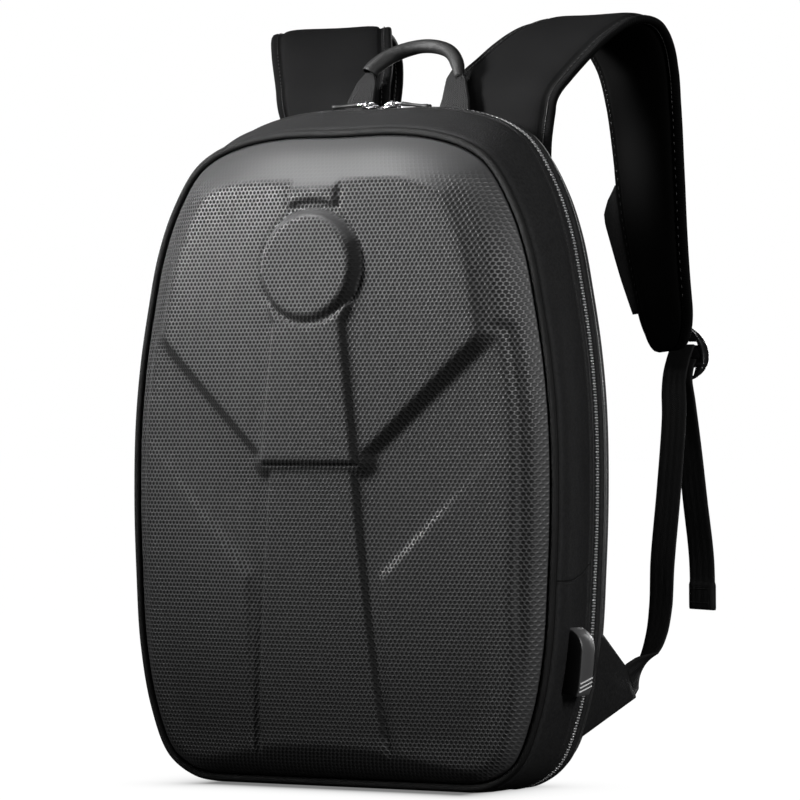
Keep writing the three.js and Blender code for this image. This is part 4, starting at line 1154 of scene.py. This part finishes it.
tip_across = unit(np.array([0, TAB_TIP_SLANT, -1]))
tab_tip = np.array([side_at((TAB_ROOT_LOW + TAB_ROOT_HIGH) / 2) + TAB_TIP_OUT,
                    BACK_Y + BACK_THICKNESS / 2 + TAB_REACH, TAB_TIP_UP])
levels = []
for up in np.linspace(0, 1, 22):
    z = TAB_ROOT_LOW + (TAB_ROOT_HIGH - TAB_ROOT_LOW) * up
    root = np.array([side_at(z) - TAB_SEAM_IN, BACK_Y - 5, z])
    tip = tab_tip + tip_across * (0.5 - up) * (WEBBING_WIDTH + TAB_HEM)
    rim = 0.55 if up in (0, 1) else 1
    ring = []
    for side, shares in ((1, np.linspace(0, 1, 14)), (-1, np.linspace(1, 0, 14))):
        for share in shares:
            puff = 0.35 * math.sin(math.pi * share) * math.sin(math.pi * up)
            fold = 0.18 * math.sin(9 * share + 4 * up) * math.sin(math.pi * up)
            ring.append(root + (tip - root) * share
                        + np.array([side * (TAB_PLATE / 2 * rim * 0.8 + puff) + fold, 0, 0]))
    levels.append(np.array(ring))
both_sides("anchor_tab", levels, cloth, "anchor_tab")

# Webbing
# Ribbed tape, 25 mm wide, from each tab up to the lock and through it. It turns over in the rise beside the
# tab, and its free end hangs from the lock, hemmed.
WEBBING_THICKNESS = 1.8
TAIL_DROP = 158
# shares of the way from tab to lock: across, back and up, then how far it has turned through web_turns
WEB_ROWS = [[0, 0, 0, 0], [-0.05, 0.1, 0.022, 0.22], [-0.08, 0.21, 0.05, 0.72], [-0.09, 0.32, 0.09, 1.35],
            [-0.05, 0.43, 0.153, 1.7], [0.01, 0.51, 0.243, 1.9], [0.134, 0.575, 0.395, 2],
            [0.446, 0.765, 0.643, 2], [0.76, 0.94, 0.908, 2], [1, 1, 1, 2]]
# shares of the lock's bulge and height
WEB_INTO_LOCK = [[0.483, -0.359], [0.683, -0.154], [0.917, 0.026], [1.067, 0.113]]
web_cloth = Finish("ribbed_webbing", roughness=0.7, Specular_IOR_Level=0.3)
along, across = web_cloth.pattern()
slant = (along + across.maths("ABSOLUTE").from_nearest(6.2).maths("ABSOLUTE") * 1.2).wave(1.5)
web_cloth.colour(web_cloth.mix(slant * 0.4 + 0.5, (0.003, 0.003, 0.0031), (0.007, 0.007, 0.0073)))
web_cloth.relief(slant * 0.12 + across.wave(1.55) * 0.06)


def tape_section(width, thickness):
    """The outline of flat tape with rounded edges."""
    half = width / 2
    flat = [[half, 0], [half - 0.25, thickness * 0.36], [half - 1.0, thickness / 2]]
    flat += [[half * s, thickness / 2] for s in (0.5, 0, -0.5)]
    upper = flat + [[-half + 1.0, thickness / 2], [-half + 0.25, thickness * 0.36], [-half, 0]]
    return upper + [[u, -v] for u, v in upper[-2:0:-1]]


def in_lock(place_in_lock):
    return by_lock(place_in_lock[0] * LOCK_BULGE, place_in_lock[1] * LOCK_HEIGHT)


tip_along = unit(np.cross(tip_across, [1, 0, 0]))
tip_along = tip_along if tip_along[1] > 0 else -tip_along
web_start = tab_tip + tip_along * (FIT_GAP + 0.1)
web_end = in_lock([0.375, -0.615])
# directions across the tape: at the tab, edge on halfway, and in the lock
web_turns = [tip_across, np.array([-0.68, 0.73, 0]), -lock_across]
web_places = [web_start + (web_end - web_start) * np.array(row[:3]) for row in WEB_ROWS]
web_places += [in_lock(row) for row in WEB_INTO_LOCK]
levels = []
for share in np.linspace(0, 1, 150):
    here, ahead, behind = open_path(web_places, [share, share + 0.002, share - 0.002])
    along_it = unit(ahead - behind) if share > 0 else tip_along
    spot = share * (len(web_places) - 1)
    twist = float(np.interp(spot, range(len(WEB_ROWS)), [row[3] for row in WEB_ROWS]))
    part = min(int(twist), 1)
    wish = web_turns[part] * (part + 1 - twist) + web_turns[part + 1] * (twist - part)
    through = unit(np.cross(along_it, wish))
    across_it = unit(np.cross(through, along_it))
    levels.append(laid(here, across_it, through, tape_section(WEBBING_WIDTH, WEBBING_THICKNESS)))
both_sides("webbing", levels, web_cloth, "webbing")

# the free end's way out of the lock, then shares of its drop, back and up, with its turn in degrees
TAIL_IN_LOCK = [[1.15, -0.141], [0.95, -0.308]]
TAIL_ROWS = [[0, 0, -24], [0.03, -0.1, -24], [0.085, -0.3, -23], [0.14, -0.53, -22], [0.2, -0.78, -21],
             [0.21, -1, -21]]
HEM = 1.1
HEM_LENGTH = 14
tail_start = in_lock([0.867, -0.487])
tail_places = [in_lock(row) for row in TAIL_IN_LOCK]
tail_places += [tail_start + np.array([0, back, up]) * TAIL_DROP for back, up, turn in TAIL_ROWS]
tail_turns = [TAIL_ROWS[0][2]] * len(TAIL_IN_LOCK) + [row[2] for row in TAIL_ROWS]
tail_path = Path(tail_places, tail_turns)
hem_from = 1 - HEM_LENGTH / tail_path.length
levels = []
for share in np.concatenate([np.linspace(0, hem_from, 70), np.linspace(hem_from + 0.004, 1, 14)]):
    here, along_it, across_it, through = tail_path.at(share)
    into = (share - hem_from) * tail_path.length
    thick = WEBBING_THICKNESS + (2 * HEM * min(1, into / 1.5) if into > 0 else 0)
    thick = thick * (0.7 if share > 0.9995 else 1)
    levels.append(laid(here, across_it, through, tape_section(WEBBING_WIDTH, thick)))
both_sides("webbing_tail", levels, web_cloth, "webbing_tail")
rows = []
for share in (hem_from + 0.02, 1 - 0.02):
    here, along_it, across_it, through = tail_path.at(share)
    for u in np.arange(-10, 10.1, 3.4):
        for face in (-1, 1):
            spot = laid(here, across_it, through, [[u, face * (WEBBING_THICKNESS / 2 + HEM)]])[0]
            rows.append((spot, Matrix((across_it, -along_it, through)).transposed()))
sewn("tail_stitches", rows)

# Top handle
# A rolled tube of cloth with a seam along it, open at the left end and stitched narrow at the right, on two
# flat feet of webbing that taper upwards.
HANDLE_SPAN = 74
HANDLE_RISE = 24
HANDLE_LEAN = 20
HANDLE_DIAMETER = 9.5
FOOT_WIDTH = 26
FOOT_TOP_WIDTH = 15
FOOT_HEIGHT = 30
FOOT_THICKNESS = 3
FOOT_LEAN = 8
FOOT_Y = BACK_Y + BACK_THICKNESS / 2
FOOT_BASE = BODY_HEIGHT - 7.2
# share up a foot, and its width there
FOOT_ROWS = [[0, FOOT_WIDTH], [0.35, FOOT_WIDTH - 3], [1, FOOT_TOP_WIDTH], [1.22, 6]]
# the handle's path, as shares of half its span, its lean and its rise
HANDLE_ROWS = [[-1, 0, 0], [-0.88, 0.28, 0.4], [-0.6, 0.68, 0.78], [-0.2, 0.96, 0.98], [0.2, 0.96, 0.98],
               [0.6, 0.68, 0.78], [0.88, 0.28, 0.4], [1, 0, 0]]
for side, label in ((-1, "left"), (1, "right")):
    levels = []
    for share in np.linspace(0, FOOT_ROWS[-1][0], 32):
        width = float(np.interp(share, *np.array(FOOT_ROWS).T))
        bow = 0.8 * math.sin(math.pi * share)
        lean_in = 3.2 * max(0, share - 0.55) / 0.67
        section = tape_section(width, FOOT_THICKNESS * (1 - 0.25 * share))
        levels.append(np.array([
            [side * (HANDLE_SPAN / 2 - lean_in) + u, FOOT_Y + share * FOOT_LEAN + v - bow,
             FOOT_BASE + share * FOOT_HEIGHT] for u, v in section]))
    foot = stack("handle_foot_" + label, levels, web_cloth, uv=band_uv(levels))
    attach(foot, "bag")
    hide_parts("handle_foot_" + label)

handle_places = [[across * HANDLE_SPAN / 2, FOOT_Y + FOOT_LEAN + lean * HANDLE_LEAN,
                  FOOT_BASE + FOOT_HEIGHT + FIT_GAP + rise * HANDLE_RISE]
                 for across, lean, rise in HANDLE_ROWS]
handle_finish = Finish("handle_cloth", roughness=0.55, Specular_IOR_Level=0.4)
along, around = handle_finish.pattern()
handle_threads = weave(along, around, 0.8, 0.5)
handle_finish.colour(handle_finish.mix(handle_threads * 0.5 + 0.5, (0.004, 0.004, 0.004),
                                       (0.010, 0.010, 0.010)))
handle_finish.relief(handle_threads * 0.07 + handle_finish.cloud(7) * 0.7)
HANDLE_TURNS = 28
# share along the handle and share of the radius, from inside the open end to the stitched one
HANDLE_SWELL = [[0.17, 0.05], [0.16, 0.8], [0.09, 0.95], [0.083, 1.08], [0.088, 1.2]]
for share in np.linspace(0.1, 0.985, 70):
    open_flare = 0.24 * max(0, (0.45 - share) / 0.36)
    sewn_narrow = 0.4 * max(0, (share - 0.84) / 0.16) ** 1.4
    HANDLE_SWELL.append([share, 1.0 + open_flare - sewn_narrow])
HANDLE_SWELL.append([1.0, 0.4])
levels = []
for share, swell in HANDLE_SWELL:
    near = [share, min(share, 0.998) + 0.002, max(share, 0.002) - 0.002]
    here, ahead, behind = open_path(handle_places, near)
    along_it = unit(ahead - behind)
    through = unit(np.cross(along_it, [0, 1, 0]))
    other = np.cross(through, along_it)
    ring = []
    for turn in np.linspace(0, 2 * math.pi, HANDLE_TURNS, endpoint=False):
        ridge = 0.35 * math.exp(-((turn - 2.2) / 0.16) ** 2)
        ridge = ridge - 0.3 * math.exp(-((turn - 2.55) / 0.14) ** 2)
        pinch = 0.12 * math.sin(3 * turn + 18 * share) * math.sin(math.pi * min(max(share, 0), 1))
        radius = HANDLE_DIAMETER / 2 * swell + (ridge + pinch if share > 0.1 else 0)
        ring.append(here + through * radius * math.cos(turn) + other * radius * math.sin(turn))
    levels.append(np.array(ring))
handle = stack("top_handle", levels, handle_finish, uv=band_uv(levels))
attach(handle, "bag")
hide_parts("top_handle")

# Zip sliders and pulls
# Two plated sliders meet at the middle of the top. Each has a bridge and two lugs with a pin, on which a
# wire link turns with a black moulded pull on it.
SLIDER_LENGTH = 13
SLIDER_WIDTH = 9
SLIDER_HEIGHT = 2.6
LUG_WIDTH = 1.3
LUG_LENGTH = 3.4
PIN_RADIUS = 1.3
PIN_ALONG = 2
PULL_LENGTH = 28
PULL_WIDTH = 5
PULL_THICKNESS = 1.8
# along the pull, then its width and thickness there, as shares
PULL_ROWS = [[5.6, 0.5, 0.5], [5.9, 0.78, 0.9], [7.5, 0.96, 1.15], [11, 0.84, 1], [13, 0.8, 0.82],
             [22, 0.84, 0.82], [24, 0.94, 1], [26.6, 1, 1.15], [27.6, 0.86, 0.95], [28, 0.55, 0.5]]
PULL_SECTION = [[1, -0.5], [1, 0.5], [0.8, 1], [0, 0.86], [-0.8, 1], [-1, 0.5], [-1, -0.5], [-0.8, -1],
                [0, -1], [0.8, -1]]
ZIP_TOP = BODY_HEIGHT + 0.2
SLIDER_Y = ZIP_Y + ZIP_WIDTH / 2
LOW_Z = ZIP_TOP + FIT_GAP
PIN_Z = LOW_Z + SLIDER_HEIGHT + FIT_GAP + PIN_RADIUS
metal = Finish("plated_metal", roughness=0.2, Metallic=1.0)
metal.colour(metal.mix(metal.cloud(2), (0.32, 0.32, 0.33), (0.55, 0.55, 0.56)))
metal.relief(metal.cloud(1.2) * 0.05)


def round_box(name, low, high, bevel, finish, taper=0.0):
    """A box with bevelled edges. taper narrows its far end along x."""
    rings = []
    (x0, y0, z0), (x1, y1, z1) = low, high
    far = taper * (y1 - y0) / 2
    for z, tuck in ((z0, bevel), (z0 + bevel, 0), (z1 - bevel, 0), (z1, bevel)):
        a, b, c, d = x0 + tuck, x1 - tuck, y0 + tuck, y1 - tuck
        rings.append([[a + bevel, c, z], [b - bevel, c + far, z], [b, c + far + bevel, z],
                      [b, d - far - bevel, z], [b - bevel, d - far, z], [a + bevel, d, z],
                      [a, d - bevel, z], [a, c + bevel, z]])
    return stack(name, rings, finish)


def wire(name, places, radius, finish, closed=False, up=(0, 1, 0), sides=10):
    """A round wire through places."""
    places = np.array(places, float)
    rings = []
    for k, here in enumerate(places):
        ahead = places[(k + 1) % len(places)] if closed or k + 1 < len(places) else here
        behind = places[k - 1] if closed or k > 0 else here
        along_it = unit(ahead - behind)
        one = unit(np.cross(along_it, up))
        two = np.cross(one, along_it)
        rings.append([here + one * radius * math.cos(t) + two * radius * math.sin(t)
                      for t in np.linspace(0, 2 * math.pi, sides, endpoint=False)])
    return stack(name, rings, finish, wrap=closed)


def moved(piece, side, x, y, z):
    """Moves a piece by x, y, z, mirrored first where side is negative."""
    for vertex in piece.data.vertices:
        vertex.co = Vector((vertex.co.x * side + x * MM, vertex.co.y + y * MM, vertex.co.z + z * MM))
    if side < 0:
        piece.data.flip_normals()
    return piece


pull_finish = Finish("pull_plastic", roughness=0.5, Specular_IOR_Level=0.25)
pull_finish.colour(pull_finish.mix(pull_finish.cloud(6), (0.004, 0.004, 0.004), (0.008, 0.008, 0.008)))
half = SLIDER_LENGTH / 2
pin_up = PIN_Z - LOW_Z
tilt = math.asin((pin_up - PULL_THICKNESS / 2) / PULL_LENGTH)
# lift is the share of the tilt at which each pull lies
for letter, side, lift in (("a", -1, 0.4), ("b", 1, 1.0)):
    middle = side * (half + 1.5)
    pin_x = middle + side * PIN_ALONG
    body = [
        round_box("plate", (-half, -SLIDER_WIDTH / 2, 0), (half, SLIDER_WIDTH / 2, SLIDER_HEIGHT), 0.8,
                  metal, taper=0.3),
        wire("bridge", [(-half + 1.8 + 8.2 * t, 0, SLIDER_HEIGHT - 0.6 + 2.6 * math.sin(math.pi * t) ** 0.6)
                        for t in np.linspace(0, 1, 14)], 1.0, metal),
        wire("pin", [(PIN_ALONG, -PULL_WIDTH / 2 - 1.2, pin_up), (PIN_ALONG, PULL_WIDTH / 2 + 1.2, pin_up)],
             0.55, metal, up=(0, 0, 1)),
    ]
    for edge in (-1, 1):
        lug_y = edge * (PULL_WIDTH / 2 + FIT_GAP + LUG_WIDTH / 2)
        body.append(round_box("lug", (PIN_ALONG - LUG_LENGTH / 2, lug_y - LUG_WIDTH / 2, 0.5),
                              (PIN_ALONG + LUG_LENGTH / 2, lug_y + LUG_WIDTH / 2, pin_up + PIN_RADIUS),
                              0.35, metal))
    slider = moved(joined("zip_slider_" + letter, body, metal), side, middle, SLIDER_Y, LOW_Z)
    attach(slider, "bag")
    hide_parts("zip_slider_" + letter)

    link_half = PULL_WIDTH / 2 - 0.75
    corners = [(-0.2, -link_half + 0.8), (-0.2, link_half - 0.8), (0.6, link_half), (8, link_half - 0.2),
               (8.8, link_half - 1), (8.8, -link_half + 1), (8, -link_half + 0.2), (0.6, -link_half)]
    link_path = [(x + 0.3, y, 0) for x, y in smooth_loop(corners, 5)]
    link = wire("pull_link_" + letter, link_path, 0.8, metal, closed=True, up=(0, 0, 1))
    rings = []
    for x, wide, thick in PULL_ROWS:
        w, t = wide * PULL_WIDTH / 2, thick * PULL_THICKNESS * 0.75
        rings.append([[x, u * w, v * t] for u, v in PULL_SECTION])
    grip = stack("zip_pull_" + letter, rings, pull_finish)
    for piece, slot in ((link, "zip_metal"), (grip, "black_plastic")):
        piece.data.transform(Matrix.Rotation(tilt * lift, 4, "Y"))
        moved(piece, side, pin_x, SLIDER_Y, PIN_Z)
        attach(piece, "pull_" + letter)
    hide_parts("zip_pull_" + letter)

# Charging port
# A moulded housing on the right side: its outer face is bowed and painted lighter as if lit, its sides carry
# painted shade, three slanting ribs near the lower end are painted white as glints, and its socket opens
# below.
PORT_HEIGHT = 43
PORT_WIDTH = 18
PORT_STAND = 12
PORT_BASE = 65
PORT_Y = -12
PORT_INSIDE = -1.5
SOCKET_WIDTH = 13
SOCKET_HEIGHT = 6
SOCKET_DEPTH = 13
# height up the housing and how far it stands, as shares, then its half width's share
PORT_ROWS = [[0.012, 1, 0.99], [0.06, 1.04, 1], [0.12, 1.083, 1], [0.3, 1.07, 1], [0.5, 1.04, 1],
             [0.7, 1, 1], [0.78, 0.94, 1], [0.85, 0.82, 1], [0.9, 0.68, 0.99], [0.94, 0.5, 0.97],
             [0.97, 0.34, 0.94], [0.99, 0.16, 0.9], [1, 0.02, 0.84]]
port_lean = math.atan2(side_at(PORT_BASE + PORT_HEIGHT) - side_at(PORT_BASE), PORT_HEIGHT)
port_finish = Finish("port_plastic", roughness=0.36)
x_mm, y_mm, z_mm = port_finish.place()
# Painted light: the outer face gets a lighter colour as if lit, and the sides a near-black painted shade.
port_sides_painted_shade = (y_mm - PORT_Y).maths("ABSOLUTE").step(PORT_WIDTH / 2 - 0.9, PORT_WIDTH / 2 - 0.3)
port_finish.colour(port_finish.mix(port_sides_painted_shade, (0.085, 0.085, 0.086), (0.002, 0.002, 0.002)))
port_finish.relief(port_finish.cloud(0.4) * 0.04)


def by_port(x, y, z):
    """A place given from the foot of the housing, which leans with the bag's side."""
    c, s = math.cos(port_lean), math.sin(port_lean)
    return [side_at(PORT_BASE) + x * c + z * s, PORT_Y + y, PORT_BASE - x * s + z * c]


def port_ring(inside, outside, half, z, bevel):
    """A level section of the housing, bevelled at its two outer corners."""
    rows = [[inside, -half], [outside - bevel, -half], [outside - bevel * 0.3, -half + bevel * 0.3],
            [outside, -half + bevel], [outside, half - bevel], [outside - bevel * 0.3, half - bevel * 0.3],
            [outside - bevel, half], [inside, half]]
    return np.array([by_port(x, y, z) for x, y in rows])


socket_middle = PORT_STAND / 2 + 0.6
low, high = socket_middle - SOCKET_HEIGHT / 2, socket_middle + SOCKET_HEIGHT / 2
levels = [port_ring(low + 0.2, high - 0.2, SOCKET_WIDTH / 2 - 0.2, SOCKET_DEPTH, 0.4),
          port_ring(low, high, SOCKET_WIDTH / 2, 0.6, 0.4),
          port_ring(low - 0.5, high + 0.5, SOCKET_WIDTH / 2 + 0.5, 0, 0.5),
          port_ring(PORT_INSIDE + 0.5, PORT_STAND - 0.5, PORT_WIDTH / 2 - 0.5, 0, 1.6)]
for up, stand, wide in PORT_ROWS:
    levels.append(port_ring(PORT_INSIDE, max(PORT_STAND * stand, PORT_INSIDE + 3.6), PORT_WIDTH / 2 * wide,
                            up * PORT_HEIGHT, 1.8))
port = stack("charging_port", levels, port_finish)
# The ribs are painted near white: a painted highlight that stands in for the glints along them.
rib_painted_glint = Finish("ribs_painted_glint", roughness=0.3)
rib_painted_glint.colour((0.9, 0.9, 0.9))
RIB_LOWEST = 3.4
RIB_PITCH = 2.7
RIB_SLANT = 0.22
RIB_HALF = PORT_WIDTH / 2 - 1.4
ribs = joined("port_ribs", [
    wire("rib", [by_port(PORT_STAND * 1.05 + 0.15, y, RIB_LOWEST + RIB_PITCH * k + (y + 6) * RIB_SLANT)
                 for y in np.linspace(-RIB_HALF, RIB_HALF, 8)], 0.55, rib_painted_glint, up=(0, 0, 1))
    for k in range(3)], rib_painted_glint)
for piece in (port, ribs):
    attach(piece, "bag")
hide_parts("charging_port")

# Stitching on the body
# Black thread along the welts on both sides of the zip, and fine pale thread along the seam of the back,
# high up only, its brightness partly a painted glint.
# The pale thread's brightness is partly a painted glint, and it is sewn only above 250 mm.
pale_thread_painted_glint = Finish("pale_thread_painted_glint", roughness=0.35)
pale_thread_painted_glint.colour(pale_thread_painted_glint.mix(pale_thread_painted_glint.cloud(2), (0.15, 0.15, 0.15), (0.5, 0.5, 0.5)))


def sewn_round(name, y, out, pitch, size, finish, lowest=2):
    """Stitches round the bag's outline at depth y, above the lowest height."""
    loop = even(BODY + RIM_OUT * out, int(body_walk[-1] / pitch))
    kept = loop[:, 1] > lowest
    spots = [(x, y, z) for x, z in loop[kept]]
    turned = [(0, math.atan2(out_x, out_z), 0) for out_x, out_z in outward(loop)[kept]]
    piece = repeat(name, spots, turned, stitch, finish, size)
    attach(piece, "bag")


sewn_round("front_welt_stitches", ZIP_Y - 4.9, -0.1, 2.6, 0.75, thread_finish)
sewn_round("rear_welt_stitches", REAR_Y + 4.9, -0.45, 2.6, 0.75, thread_finish)
sewn_round("back_seam_stitches", REAR_Y + 8.6, -1.3, 2.4, 1.0, pale_thread_painted_glint, lowest=250)
